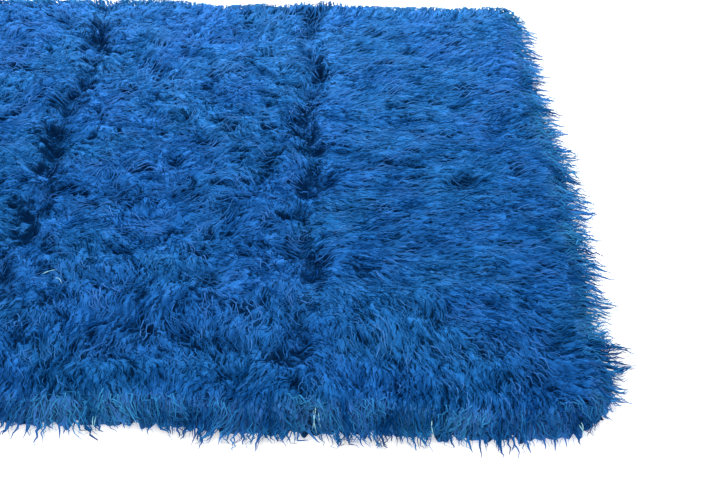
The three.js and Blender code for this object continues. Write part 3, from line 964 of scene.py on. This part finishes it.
@dataclass
class FieldMesh:
    """A fine flat grid that carries the pile field's values to the Geometry Nodes tree.

    Attributes:
        pile: The pile's field.
        pitch: The spacing of the grid.
        margin: How far the grid goes beyond the body of the pile.
        rim_lock: The length of a lock at the rim.
        inner_extra: How much longer a lock is inside the rim.
        far_end: The Y of the tufts at the far ends of the fold lines.
    """

    pile: PileField
    pitch: float = 0.009
    margin: float = 0.14
    rim_lock: float = 0.054
    inner_extra: float = 0.008
    far_end: float = 0.59

    def grid(self) -> tuple[np.ndarray, np.ndarray]:
        """Returns the grid's X and Y, as arrays of rows and columns."""
        half_x = self.pile.length / 2 + self.margin
        half_y = self.pile.width / 2 + self.margin
        xs = np.linspace(-half_x, half_x, round(2 * half_x / self.pitch) + 1)
        ys = np.linspace(-half_y, half_y, round(2 * half_y / self.pitch) + 1)
        return np.meshgrid(xs, ys)

    def surface(self, name: str, keep: CellTest) -> bpy.types.Object:
        """Returns the grid cells that are kept, as an object with the field's values on its vertices.

        Args:
            name: The object's name.
            keep: Says for the middles of cells, given as X and Y, which stay.
        """
        x, y = self.grid()
        rows, columns = x.shape
        index = np.arange(rows * columns).reshape(rows, columns)
        corners = [index[:-1, :-1], index[:-1, 1:], index[1:, 1:], index[1:, :-1]]
        cells = np.stack([corner.ravel() for corner in corners], -1)
        mid_x = x.ravel()[cells].mean(1)
        mid_y = y.ravel()[cells].mean(1)
        cells = cells[keep(mid_x, mid_y)]
        used, faces = np.unique(cells, return_inverse=True)
        px, py = x.ravel()[used], y.ravel()[used]
        points = np.stack([px, py, self.pile.height(px, py)], -1)
        made = plain_object(name, points, [tuple(face) for face in faces.reshape(-1, 4).tolist()])
        self._carry(made.data, px, py)
        return made

    def _carry(self, mesh: bpy.types.Mesh, x: np.ndarray, y: np.ndarray) -> None:
        """Stores the field's values on the mesh.

        Args:
            mesh: The mesh.
            x: Its vertices' places along the rug.
            y: Their places across it.
        """
        pile = self.pile
        self._write(mesh, "lay", np.pad(pile.lay(x, y), ((0, 0), (0, 1))))
        inset = pile.inset(x, y)
        hollow = pile.hollow(x, y)
        at_fold = pile.at_folds(x, y, pile.parting_reach)
        at_fold_end = pile.at_folds(x, y, pile.tuft_reach) * bump(np.maximum(self.far_end - y, 0), 0.05)
        self._write(mesh, "density", 1 - 0.5 * hollow)
        self._write(mesh, "lift", np.clip(0.35 * at_fold + 0.6 * at_fold_end, 0, 0.8))
        long = self.rim_lock + self.inner_extra * smooth_step(inset / 0.07)
        from_side = np.maximum(pile.width / 2 - np.abs(y), 0)
        from_end = np.maximum(pile.length / 2 - np.abs(x), 0)
        long *= 1 - 0.4 * bump(from_side, 0.06) - 0.2 * bump(np.hypot(from_side, from_end), 0.10)
        self._write(mesh, "long", long * (1 - 0.35 * hollow))
        self._write(mesh, "unrest", pile.unrest(x, y))
        # The strands' tone is painted light and shade: lighter towards the far side, a little lighter along
        # the near side and on the slope at the rim, and darker in the hollows, less so along the near side.
        near = pile.nearness(y)
        slope = 0.18 * smooth_step((0.046 - inset) / 0.020)
        tone = 0.30 * y - 0.025 - (0.3 - 0.15 * near) * hollow + 0.06 * near + slope
        self._write(mesh, "tone", tone)

    def _write(self, mesh: bpy.types.Mesh, name: str, values: np.ndarray) -> None:
        """Stores one number or one vector for each of the mesh's vertices."""
        kind, label = ("FLOAT_VECTOR", "vector") if values.ndim == 2 else ("FLOAT", "value")
        layer = mesh.attributes.new(name, kind, "POINT")
        layer.data.foreach_set(label, values.astype(np.float32).ravel())


@dataclass
class LockPile:
    """All the locks of wool: the pile of each panel, the rim's own locks and the stray hairs.

    Attributes:
        field_mesh: The grid that the locks are rooted in.
        wool: The material of the pile's strands and hairs.
        rim_wool_with_painted_light: The material of the rim's locks.
        softness: How far the shading is turned up.
        made: The pieces so far.
        tree: The tree that grows the locks.
        top: The surface that the locks are laid on, which is removed at the end.
    """

    field_mesh: FieldMesh
    wool: bpy.types.Material
    rim_wool_with_painted_light: bpy.types.Material
    softness: float = 0.9
    made: list[bpy.types.Object] = field(default_factory=list)
    tree: bpy.types.NodeTree = field(init=False)
    top: bpy.types.Object = field(init=False)

    def build(self) -> list[bpy.types.Object]:
        """Returns the pieces: one for each panel, and one for each kind of extra lock."""
        self.tree = LockTree("lay_locks").tree
        pile = self.field_mesh.pile
        self.top = self.field_mesh.surface("pile_top", lambda x, y: np.full(x.shape, True))
        for number, panel in enumerate(Panel):
            self._piece(f"strands_{panel.value}", self._in_panel(panel), {"Seed": 21 + number})
        rim = {"Spacing": 0.0067, "Seed": 31, "Bluntness": 2.2, "Wave": 0.026, "Unrest": 1.9, "Crimp": 0.0038}
        rim |= {"Clump Size": 0.020, "Clump Pull": 0.85, "Rise": 0.001, "Thickness": 0.0013, "Reach": 1.1}
        rim |= {"Stations": 6, "Material": self.rim_wool_with_painted_light}
        self._piece("rim_locks", lambda x, y: np.abs(pile.inset(x, y) - 0.020) < 0.021, rim)
        wisps = {"Spacing": 0.0125, "Seed": 33, "Stations": 7, "Thickness": 0.0030, "Flatness": 0.35}
        wisps |= {"Bluntness": 1.2, "Wave": 0.022, "Unrest": 1.4, "Reach": 1.12}
        wisps |= {"Clump Pull": 0.5, "Clump Size": 0.024}
        self._piece("rim_wisps", lambda x, y: np.abs(pile.inset(x, y) - 0.010) < 0.012, wisps)
        hairs = {"Stations": 7, "Thickness": 0.0009, "Flatness": 0.6, "Bluntness": 2.6, "Crimp": 0.0030}
        hairs |= {"Unrest": 1.5, "Clump Pull": 0.1, "Loft": 0.005, "Rise": 0.002, "Bury": 0.2}
        over = {"Spacing": 0.080, "Seed": 41, "Reach": 1.0}
        self._piece("stray_hairs", lambda x, y: pile.inset(x, y) > 0.03, {**hairs, **over})
        beyond = {"Spacing": 0.016, "Seed": 43, "Reach": 1.35, "Unrest": 2.2}
        self._piece("rim_hairs", lambda x, y: np.abs(pile.inset(x, y) - 0.015) < 0.015, {**hairs, **beyond})
        bpy.data.objects.remove(self.top)
        return self.made

    def _in_panel(self, panel: Panel) -> CellTest:
        """Returns the test of which grid cells lie in a panel."""
        pile = self.field_mesh.pile
        order = list(Panel).index(panel)

        def test(x: np.ndarray, y: np.ndarray) -> np.ndarray:
            """Returns which cells lie in the panel."""
            passed = sum((x > fold.line(y)).astype(int) for fold in pile.folds)
            return (passed == order) & (pile.inset(x, y) > 0.004)

        return test

    def _piece(self, name: str, keep: CellTest, values: dict[str, Any]) -> None:
        """Grows one piece of locks and keeps it as a plain mesh.

        Args:
            name: The piece's name.
            keep: Says which grid cells the piece is rooted in.
            values: The tree's inputs that differ from their defaults.
        """
        source = self.field_mesh.surface(name, keep)
        modifier = source.modifiers.new("locks", "NODES")
        modifier.node_group = self.tree
        items = self.tree.interface.items_tree
        sockets = {item.name: item.identifier for item in items if item.in_out == "INPUT"}
        for label, value in {"Pile Top": self.top, "Material": self.wool, **values}.items():
            modifier[sockets[label]] = value
        graph = bpy.context.evaluated_depsgraph_get()
        mesh = bpy.data.meshes.new_from_object(source.evaluated_get(graph), depsgraph=graph)
        source.modifiers.remove(modifier)
        for extra in [made.name for made in mesh.attributes if not made.is_internal]:
            unneeded = extra not in (UV_NAME, "position") and extra in mesh.attributes
            if unneeded and not mesh.attributes[extra].is_required:
                mesh.attributes.remove(mesh.attributes[extra])
        self._soften(mesh)
        mesh.name = name
        source.data = mesh
        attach(source, BODY)
        self.made.append(source)
        triangles = sum(len(polygon.vertices) - 2 for polygon in mesh.polygons)
        LOG.info("%s: %d triangles", name, triangles)

    def _soften(self, mesh: bpy.types.Mesh) -> None:
        """Turns the shading part of the way up, as light spreads between the fibres of wool."""
        normals = np.empty(len(mesh.vertices) * 3, np.float32)
        mesh.vertex_normals.foreach_get("vector", normals)
        normals = unit(normals.reshape(-1, 3) + (0, 0, self.softness))
        mesh.normals_split_custom_set_from_vertices(normals)


@dataclass(frozen=True)
class ThreadFinish:
    """Undyed-looking pale thread, with a faint change of tone along it."""

    name: str = "pale_thread"
    pale: Colour = (0.34, 0.64, 0.72)
    deep: Colour = (0.10, 0.40, 0.56)

    def material(self) -> bpy.types.Material:
        """Returns the material, which reads Object coordinates."""
        made, kit = new_material(self.name)
        change = kit.noise(kit.add("ShaderNodeTexCoord").outputs["Object"], 160.0, 2.0)[0]
        share = kit.ramp(change, 0.35, 0.65)
        kit.shade(
            {
                "Base Color": kit.mixed(share, (*self.pale, 1), (*self.deep, 1)),
                "Roughness": 0.7,
                "Normal": kit.relief(change, 0.5, 0.0005),
            }
        )
        return made


@dataclass(frozen=True)
class Thread:
    """One pale thread that shows on the pile: where it starts, which way it runs and how long it is."""

    x: float
    y: float
    heading: float
    length: float
    bend: float


@dataclass
class PaleThreads:
    """The few pale threads that lie among the blue wool.

    Attributes:
        pile: The pile's field.
        radius: A thread's radius at its root.
        stations: How many rings of points a thread has.
        sides: How many sides it has.
        threads: The threads.
    """

    pile: PileField
    radius: float = 0.0008
    stations: int = 9
    sides: int = 5
    threads: tuple[Thread, ...] = (
        Thread(0.068, -0.345, 0.20, 0.026, 0.5),
        Thread(0.094, -0.352, -0.40, 0.022, -0.8),
        Thread(0.221, -0.640, -1.60, 0.022, 0.3),
        Thread(0.225, -0.642, -1.50, 0.016, -0.2),
        Thread(0.560, -0.640, -1.50, 0.026, 0.3),
        Thread(0.564, -0.637, -1.62, 0.024, -0.3),
        Thread(0.568, -0.643, -1.45, 0.018, 0.3),
        Thread(0.742, -0.650, -1.70, 0.020, 0.6),
        Thread(0.968, -0.644, -1.30, 0.022, 0.3),
        Thread(0.973, -0.641, -1.38, 0.018, -0.3),
    )

    def build(self) -> bpy.types.Object:
        """Returns all the threads as one object."""
        points: list[np.ndarray] = []
        faces: list[tuple[int, ...]] = []
        for thread in self.threads:
            ring_faces = self._tube(thread, points)
            faces.extend(ring_faces)
        made = plain_object("pale_threads", np.array(points), faces)
        made.data.shade_smooth()
        made.data.materials.append(ThreadFinish().material())
        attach(made, BODY)
        LOG.info("pale_threads: %d faces", len(faces))
        return made

    def _tube(self, thread: Thread, points: list[np.ndarray]) -> list[tuple[int, ...]]:
        """Adds one thread's points to the list and returns its faces.

        Args:
            thread: The thread.
            points: The points so far.
        """
        first = len(points)
        along = np.linspace(0, 1, self.stations)
        turned = thread.heading + thread.bend * along
        step = thread.length / (self.stations - 1)
        x = thread.x + np.cumsum(np.cos(turned)) * step
        y = thread.y + np.cumsum(np.sin(turned)) * step
        z = np.maximum(self.pile.height(x, y) + 0.004 * np.sin(along * np.pi), 0.002)
        for k in range(self.stations):
            across = np.array([-math.sin(turned[k]), math.cos(turned[k]), 0.0])
            size = self.radius * (1 - 0.8 * along[k] ** 3)
            for side in range(self.sides):
                angle = 2 * math.pi * side / self.sides
                offset = across * math.cos(angle) + np.array([0, 0, 1.0]) * math.sin(angle)
                points.append(np.array([x[k], y[k], z[k]]) + offset * size)
        faces: list[tuple[int, ...]] = [tuple(first + side for side in reversed(range(self.sides)))]
        for k in range(self.stations - 1):
            for side in range(self.sides):
                a = first + k * self.sides + side
                b = first + k * self.sides + (side + 1) % self.sides
                faces.append((a, b, b + self.sides, a + self.sides))
        last = first + (self.stations - 1) * self.sides
        faces.append(tuple(last + side for side in range(self.sides)))
        return faces


@dataclass(frozen=True)
class Raster:
    """Values on a regular grid over the rug, which are read at the grid point nearest to a place."""

    values: np.ndarray
    half_x: float
    half_y: float

    def read(self, x: np.ndarray, y: np.ndarray) -> np.ndarray:
        """Returns the values at the places."""
        rows, columns = self.values.shape
        column = np.clip(np.rint((x / self.half_x + 1) / 2 * (columns - 1)).astype(int), 0, columns - 1)
        row = np.clip(np.rint((y / self.half_y + 1) / 2 * (rows - 1)).astype(int), 0, rows - 1)
        return self.values[row, column]


@dataclass(frozen=True)
class Grain:
    """Combed noise at a set of places, each kind with a spread of about 1."""

    fibres: np.ndarray
    comb: np.ndarray
    locks: np.ndarray
    blotch: np.ndarray


@dataclass
class Combing:
    """Draws random noise out along the way the wool lies, so that it turns into fibres and locks.

    Attributes:
        pile: The pile's field.
        half_x: Half the length of the grid.
        half_y: Half its width.
        pitch: Its spacing.
        seed: The seed of all the noise.
        calm_crimp: How far calm wool turns from its lay with its crimp, in radians.
        tousled_crimp: How much further tousled wool turns.
        swirl: How far tousled wool turns with the slow swirl.
        random: The source of the noise.
        calm_x: The lay with its swirl, along the rug.
        calm_y: The lay with its swirl, across it.
        way_x: The way of the crimped fibres, along the rug.
        way_y: The way of the crimped fibres, across it.
    """

    pile: PileField
    half_x: float = 1.08
    half_y: float = 0.70
    pitch: float = 0.003
    seed: int = 7
    calm_crimp: float = 0.22
    tousled_crimp: float = 0.85
    swirl: float = 0.75
    random: np.random.Generator = field(init=False)
    calm_x: Raster = field(init=False)
    calm_y: Raster = field(init=False)
    way_x: Raster = field(init=False)
    way_y: Raster = field(init=False)

    def __post_init__(self) -> None:
        """Works out which way the fibres run at every point of a fine grid."""
        self.random = np.random.default_rng(self.seed)
        columns = round(2 * self.half_x / self.pitch) + 1
        rows = round(2 * self.half_y / self.pitch) + 1
        xs = np.linspace(-self.half_x, self.half_x, columns)
        ys = np.linspace(-self.half_y, self.half_y, rows)
        x, y = np.meshgrid(xs, ys)
        lay = self.pile.lay(x, y)
        unrest = self.pile.unrest(x, y)
        crimp = self.noise(self.pitch, 4).values * (self.calm_crimp + self.tousled_crimp * unrest)
        swirl = self.noise(self.pitch, 60).values * self.swirl * unrest
        angle = np.arctan2(lay[..., 1], lay[..., 0]) + swirl
        self.calm_x = Raster(np.cos(angle), self.half_x, self.half_y)
        self.calm_y = Raster(np.sin(angle), self.half_x, self.half_y)
        angle = angle + crimp
        self.way_x = Raster(np.cos(angle), self.half_x, self.half_y)
        self.way_y = Raster(np.sin(angle), self.half_x, self.half_y)

    def noise(self, pitch: float, softening: int) -> Raster:
        """Returns random values with a spread of 1.

        Args:
            pitch: The distance between them.
            softening: How many times each is averaged with its neighbours.
        """
        rows = round(2 * self.half_y / pitch) + 1
        columns = round(2 * self.half_x / pitch) + 1
        values = self.random.standard_normal((rows, columns))
        for _ in range(softening):
            for axis in (0, 1):
                values = values / 2 + (np.roll(values, 1, axis) + np.roll(values, -1, axis)) / 4
        return Raster(values / values.std(), self.half_x, self.half_y)

    def combed(self, x: np.ndarray, y: np.ndarray, noise: Raster, step: float, steps: int) -> np.ndarray:
        """Returns the noise averaged along the fibre through each place, with a spread of 1.

        Args:
            x: The places along the rug.
            y: The places across it.
            noise: The noise to read.
            step: The distance between readings.
            steps: How many readings are taken each way.
        """
        total = noise.read(x, y)
        for sign in (-step, step):
            px, py = x, y
            for number in range(steps):
                way_x, way_y = self.way_x.read(px, py), self.way_y.read(px, py)
                px, py = px + sign * way_x, py + sign * way_y
                total = total + noise.read(px, py) * math.exp(-((number / steps) ** 2))
        return (total - total.mean()) / total.std()

    def grain(self, x: np.ndarray, y: np.ndarray) -> Grain:
        """Returns the wool's grain at the places, from the finest fibres to wide blotches."""
        fibres = self.combed(x, y, self.noise(0.0015, 1), 0.002, 6)
        locks = self.combed(x, y, self.noise(0.003, 7), 0.004, 9)
        comb = self.combed(x, y, self.noise(0.003, 2), 0.003, 8)
        return Grain(fibres, comb, locks, self.noise(0.01, 8).read(x, y))


@dataclass
class Underlay:
    """What the strands lie on: the felted mass of the pile in four pieces, and the ground under it.

    Attributes:
        pile: The pile's field.
        pitch: The spacing of the felt's grid.
        pieces: How many pieces the felt is made in.
        inward: How far the felt's edge lies inside the rim, negative outside it.
        ragged: How far its edge is ragged.
        sunk: How much lower it is inside than at the rim, under the strands.
        fibre_relief: The height of the fibres' relief.
        lock_relief: The height of the locks' relief.
        crack_depth: The depth of a crack.
        hollow_depth: How much deeper the felt is in a hollow.
        under_strands: How far it lies under the top of the pile.
        least_felt: The least thickness of the felt over the ground.
        ground_gap: The gap between the felt and the ground.
        softness: How far the shading is turned up.
        highest: The highest that the felt may reach.
        ground_top: The height of the ground cloth's top.
        ground_bottom: The height of its underside.
    """

    pile: PileField
    pitch: float = 0.0036
    pieces: int = 4
    inward: float = -0.008
    ragged: float = 0.012
    sunk: float = 0.003
    fibre_relief: float = 0.0020
    lock_relief: float = 0.0009
    crack_depth: float = 0.004
    hollow_depth: float = 0.006
    under_strands: float = 0.004
    least_felt: float = 0.0016
    ground_gap: float = 0.0004
    softness: float = 0.25
    highest: float = 0.0610
    ground_top: float = 0.0034
    ground_bottom: float = 0.0004

    def build(self) -> tuple[list[bpy.types.Object], bpy.types.Object]:
        """Returns the pieces of felted wool and the ground."""
        wool = self._felt()
        p, q = np.meshgrid(np.linspace(-1, 1, 65), np.linspace(-1, 1, 41))
        x, y = self._on_rug(p, q, 0.004)
        ground = self._slab("ground_cloth", np.stack([x, y, 0 * x + self.ground_top], -1), self.ground_bottom)
        ground.data.materials.append(WeaveFinish().material())
        for piece in (*wool, ground):
            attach(piece, BODY)
            LOG.info("%s: %d faces", piece.name, len(piece.data.polygons))
        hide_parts(NODE)
        return wool, ground

    def _felt(self) -> list[bpy.types.Object]:
        """Returns the felted wool as a row of slabs with a fine relief."""
        columns = round(self.pile.length / self.pitch / self.pieces) * self.pieces
        rows = round(self.pile.width / self.pitch)
        p, q = np.meshgrid(np.linspace(-1, 1, columns + 1), np.linspace(-1, 1, rows + 1))
        x, y = self._on_rug(p, q, self.inward, self.ragged)
        combing = Combing(self.pile)
        grain = combing.grain(x, y)
        unrest = self.pile.unrest(x, y)
        tousled = np.clip(0.55 + 0.8 * unrest, 0, 1.1)
        crack = smooth_step((-grain.comb - 0.4 * grain.locks - 0.4 * grain.fibres - 1.05) / 0.9) * tousled
        points = np.stack([x, y, self._top(x, y, grain, crack, tousled)], -1)
        normals = np.cross(np.gradient(points, axis=1), np.gradient(points, axis=0))
        normals = unit(unit(normals) + (0, 0, self.softness))
        # The felt's tone carries painted light and shade, and crack its painted shade in cracks and hollows.
        looks = {
            "tone": self._tone_with_painted_light(x, y, grain),
            "crack": self._painted_shade(x, y, grain, crack),
            "way": np.stack([combing.calm_x.read(x, y), combing.calm_y.read(x, y), unrest], -1),
        }
        finish = FeltFinish().material()
        made = []
        width = columns // self.pieces
        for number in range(self.pieces):
            part = slice(number * width, (number + 1) * width + 1)
            bottom = self.ground_top + self.ground_gap
            piece = self._slab(f"felt_{number + 1}", points[:, part], bottom)
            here = {name: values[:, part] for name, values in looks.items()}
            self._dress(piece.data, normals[:, part], here)
            piece.data.materials.append(finish)
            made.append(piece)
        return made

    def _top(
        self, x: np.ndarray, y: np.ndarray, grain: Grain, crack: np.ndarray, tousled: np.ndarray
    ) -> np.ndarray:
        """Returns the height of the felt's top, a little under the top of the pile.

        Args:
            x: The points' places along the rug.
            y: Their places across it.
            grain: The wool's grain there.
            crack: How deep in a crack they lie, from 0 to about 1.
            tousled: How strong the relief is there.
        """
        inset = self.pile.inset(x, y)
        crown = self.pile.height(x, y) - self.under_strands - self.sunk * smooth_step(inset / 0.03)
        top = crown * (0.3 + 0.7 * np.sqrt(np.clip((inset - self.inward) / 0.035, 0, 1)))
        top += tousled * self.fibre_relief * (0.5 * grain.fibres + grain.comb)
        top += tousled * self.lock_relief * np.clip(grain.locks, -2, 1.5)
        sinking = self.crack_depth * crack + self.hollow_depth * self.pile.hollow(x, y)
        top -= sinking * (1 - 0.4 * self.pile.nearness(y))
        return np.clip(top, self.ground_top + self.least_felt, self.highest)

    def _tone_with_painted_light(self, x: np.ndarray, y: np.ndarray, grain: Grain) -> np.ndarray:
        """Returns the tone: random streaks of the grain, with painted light that makes it lighter away from
        the near side and down the slope at the rim, and a little darker along a strip just inside the rim on
        the near half.

        Args:
            x: The points' places along the rug.
            y: Their places across it.
            grain: The wool's grain there.
        """
        inset = self.pile.inset(x, y)
        streaks = 0.6 * grain.fibres + 0.2 * grain.comb + 0.1 * grain.locks + 0.1 * grain.blotch
        tone = 0.20 * np.tanh(streaks)
        # Painted light: lighter towards the far side, and lifted a little along the near side.
        tone += 0.47 + 0.26 * y + 0.08 * self.pile.nearness(y)
        # Painted light down the slope at the rim, and a little darker on a strip just inside the near rim.
        edge = 0.10 * bump(inset - 0.055, 0.035) * smooth_step(-4 * y)
        tone += 0.50 * smooth_step((0.036 - inset) / 0.024) - edge
        return tone

    def _painted_shade(self, x: np.ndarray, y: np.ndarray, grain: Grain, crack: np.ndarray) -> np.ndarray:
        """Returns the painted shade in cracks and hollows, from 0 to 1.

        Args:
            x: The points' places along the rug.
            y: Their places across it.
            grain: The wool's grain there.
            crack: How deep in a crack they lie, from 0 to about 1.
        """
        hollow = self.pile.hollow(x, y)
        dark = np.clip(0.9 * crack + hollow * (0.75 - 0.35 * grain.comb), 0, 1)
        return dark * (1 - 0.4 * self.pile.nearness(y))

    def _dress(self, mesh: bpy.types.Mesh, normals: np.ndarray, looks: dict[str, np.ndarray]) -> None:
        """Gives a slab of felt its normals, its attributes and its own map.

        Args:
            mesh: The slab's mesh, its upper vertices first.
            normals: The normals of the upper vertices.
            looks: The values of each attribute at the upper vertices.
        """
        rows, columns = normals.shape[:2]
        count = rows * columns
        down = np.tile((0.0, 0.0, -1.0), (count, 1))
        mesh.normals_split_custom_set_from_vertices(np.concatenate([normals.reshape(-1, 3), down]))
        for name, values in looks.items():
            kind, label = ("FLOAT_VECTOR", "vector") if values.ndim == 3 else ("FLOAT", "value")
            layer = mesh.attributes.new(name, kind, "POINT")
            layer.data.foreach_set(label, np.tile(values.ravel(), 2).astype(np.float32))
        u, v = np.meshgrid(np.linspace(0.01, 0.99, columns), np.linspace(0.01, 0.95, rows))
        place = np.stack([u.ravel(), v.ravel()], -1)
        corner = np.empty(len(mesh.loops), np.int32)
        mesh.loops.foreach_get("vertex_index", corner)
        uv = place[corner % count]
        upper = 4 * (rows - 1) * (columns - 1)
        uv[upper:, 1] = 0.965 + 0.03 * uv[upper:, 1]
        mesh.uv_layers.new(name=UV_NAME).data.foreach_set("uv", uv.astype(np.float32).ravel())

    def _slab(self, name: str, top: np.ndarray, bottom: float) -> bpy.types.Object:
        """Returns a closed slab under a grid of points.

        Args:
            name: The object's name.
            top: The points of its top, as rows and columns.
            bottom: The height of its flat underside.
        """
        rows, columns = top.shape[:2]
        count = rows * columns
        upper = top.reshape(-1, 3)
        lower = upper * (1, 1, 0) + (0, 0, bottom)
        index = np.arange(count).reshape(rows, columns)
        a, b, c, d = index[:-1, :-1], index[:-1, 1:], index[1:, 1:], index[1:, :-1]
        faces = np.stack([a, b, c, d], -1).reshape(-1, 4).tolist()
        rim = [*index[0, :-1], *index[:-1, -1], *index[-1, :0:-1], *index[:0:-1, 0]]
        faces.append([int(here + count) for here in reversed(rim)])
        for here, after in zip(rim, rim[1:] + rim[:1]):
            faces.append([int(here + count), int(after + count), int(after), int(here)])
        made = plain_object(name, np.concatenate([upper, lower]), [tuple(face) for face in faces])
        made.data.shade_smooth()
        return made

    def _tatters(self, x: np.ndarray, y: np.ndarray) -> np.ndarray:
        """Returns how far the ragged edge sticks out at each place, from about -1 to 1."""
        near_end = smooth_step((np.abs(x) / self.pile.length - np.abs(y) / self.pile.width) / 0.05 + 0.5)
        along = x * (1 - near_end) + y * near_end
        waves = np.sin(along / 0.0027) + np.sin(along / 0.0043 + 1) + np.sin(along / 0.0081 + 2)
        return 0.4 * waves * np.sin(along / 0.037)

    def _on_rug(
        self, p: np.ndarray, q: np.ndarray, inward: float, ragged: float = 0.0
    ) -> tuple[np.ndarray, np.ndarray]:
        """Returns the place of each point of a square grid once it is pulled into the rug's outline.

        Args:
            p: The points' places along the square, from -1 to 1.
            q: Their places across it.
            inward: How far the grid's edge lies inside the rim.
            ragged: How far the edge's tatters stick out.
        """
        step = 0.004
        x = p * self.pile.length / 2
        y = q * self.pile.width / 2
        for _ in range(8):
            edge = np.maximum(np.abs(p), np.abs(q))
            wanted = np.minimum(self.pile.length, self.pile.width) / 2 * (1 - edge) + inward
            wanted = wanted - ragged * self._tatters(x, y)
            short = np.maximum(wanted - self.pile.inset(x, y), -0.004) * edge**4
            slope_x, slope_y = self.pile.rim_slope(x, y, step)
            x = x + slope_x / (2 * step) * short
            y = y + slope_y / (2 * step) * short
        return x, y


@dataclass(frozen=True)
class SoftLight:
    """A square light: where it hangs, what it points at, its side in metres and its power in watts."""

    name: str
    place: Place
    target: Place
    size: float
    power: float


@dataclass
class Studio:
    """The floor, the lights and the camera."""

    camera_place: Place = (0.628, -1.620, 1.249)
    pitch_deg: float = 41.4
    roll_deg: float = 0.84
    focal_px: float = 1002.0
    image_width: int = 720
    sensor_mm: float = 36.0
    floor_half: float = 14.0
    room_light: float = 1.1
    lights: tuple[SoftLight, ...] = (
        SoftLight("back_light", (0.6, 2.1, 1.9), (0.5, 0.4, 0.0), 2.0, 120.0),
        SoftLight("top_light", (0.4, -0.6, 3.8), (0.4, 0.0, 0.0), 3.0, 40.0),
    )

    def build(self) -> None:
        """Makes the floor, the lights, the white surroundings and the camera."""
        self._camera()
        self._floor()
        self._room()
        for light in self.lights:
            self._hang(light)
        view = bpy.context.scene.view_settings
        view.view_transform = "Standard"
        view.look = "None"

    def _camera(self) -> None:
        """Adds the camera where the photograph was taken from."""
        lens = bpy.data.cameras.new("camera")
        lens.sensor_width = self.sensor_mm
        lens.lens = self.focal_px * self.sensor_mm / self.image_width
        lens.clip_start = 0.05
        camera = bpy.data.objects.new("camera", lens)
        bpy.context.scene.collection.objects.link(camera)
        tilt = Matrix.Rotation(math.radians(90 - self.pitch_deg), 4, "X")
        roll = Matrix.Rotation(math.radians(self.roll_deg), 4, "Z")
        camera.matrix_world = Matrix.Translation(self.camera_place) @ tilt @ roll
        bpy.context.scene.camera = camera

    def _floor(self) -> None:
        """Adds the plain white floor."""
        half = self.floor_half
        corners = np.array([(-half, -half, 0), (half, -half, 0), (half, half, 0), (-half, half, 0)])
        floor = plain_object("floor", corners, [(0, 1, 2, 3)])
        paint = bpy.data.materials.new("white_floor")
        paint.use_nodes = True
        shader = paint.node_tree.nodes["Principled BSDF"]
        shader.inputs["Base Color"].default_value = (0.92, 0.92, 0.92, 1)
        shader.inputs["Roughness"].default_value = 0.9
        shader.inputs["Specular IOR Level"].default_value = 0.1
        shader.inputs["Emission Color"].default_value = (1, 1, 1, 1)
        shader.inputs["Emission Strength"].default_value = 0.42
        floor.data.materials.append(paint)

    def _room(self) -> None:
        """Lights everything evenly from white surroundings."""
        world = bpy.data.worlds.new("white_room")
        world.use_nodes = True
        back = world.node_tree.nodes["Background"]
        back.inputs["Color"].default_value = (1, 1, 1, 1)
        back.inputs["Strength"].default_value = self.room_light
        bpy.context.scene.world = world

    def _hang(self, light: SoftLight) -> None:
        """Adds one of the lights."""
        lamp = bpy.data.lights.new(light.name, "AREA")
        lamp.size = light.size
        lamp.energy = light.power
        made = bpy.data.objects.new(light.name, lamp)
        bpy.context.scene.collection.objects.link(made)
        made.location = light.place
        heading = Vector(light.target) - Vector(light.place)
        made.rotation_euler = heading.to_track_quat("-Z", "Y").to_euler()


def main() -> None:
    """Builds the studio and the rug."""
    logging.basicConfig(level=logging.INFO, format="%(name)s: %(message)s")
    Studio().build()
    pile = PileField()
    wool, ground = Underlay(pile).build()
    # The rim's locks get a lighter copy of the wool, with painted light for the rim and the tips and painted
    # shade at the roots.
    rim_wool_with_painted_light = WoolFinish(
        name="wool_rim_painted_light",
        middle=(0.020, 0.184, 0.480),
        light=(0.040, 0.262, 0.610),
        root_shade=0.60,
        tip_shine=1.4,
        gap_shade=0.72,
    )
    locks = LockPile(FieldMesh(pile), WoolFinish().material(), rim_wool_with_painted_light.material()).build()
    threads = PaleThreads(pile).build()


if __name__ == "__main__":
    main()
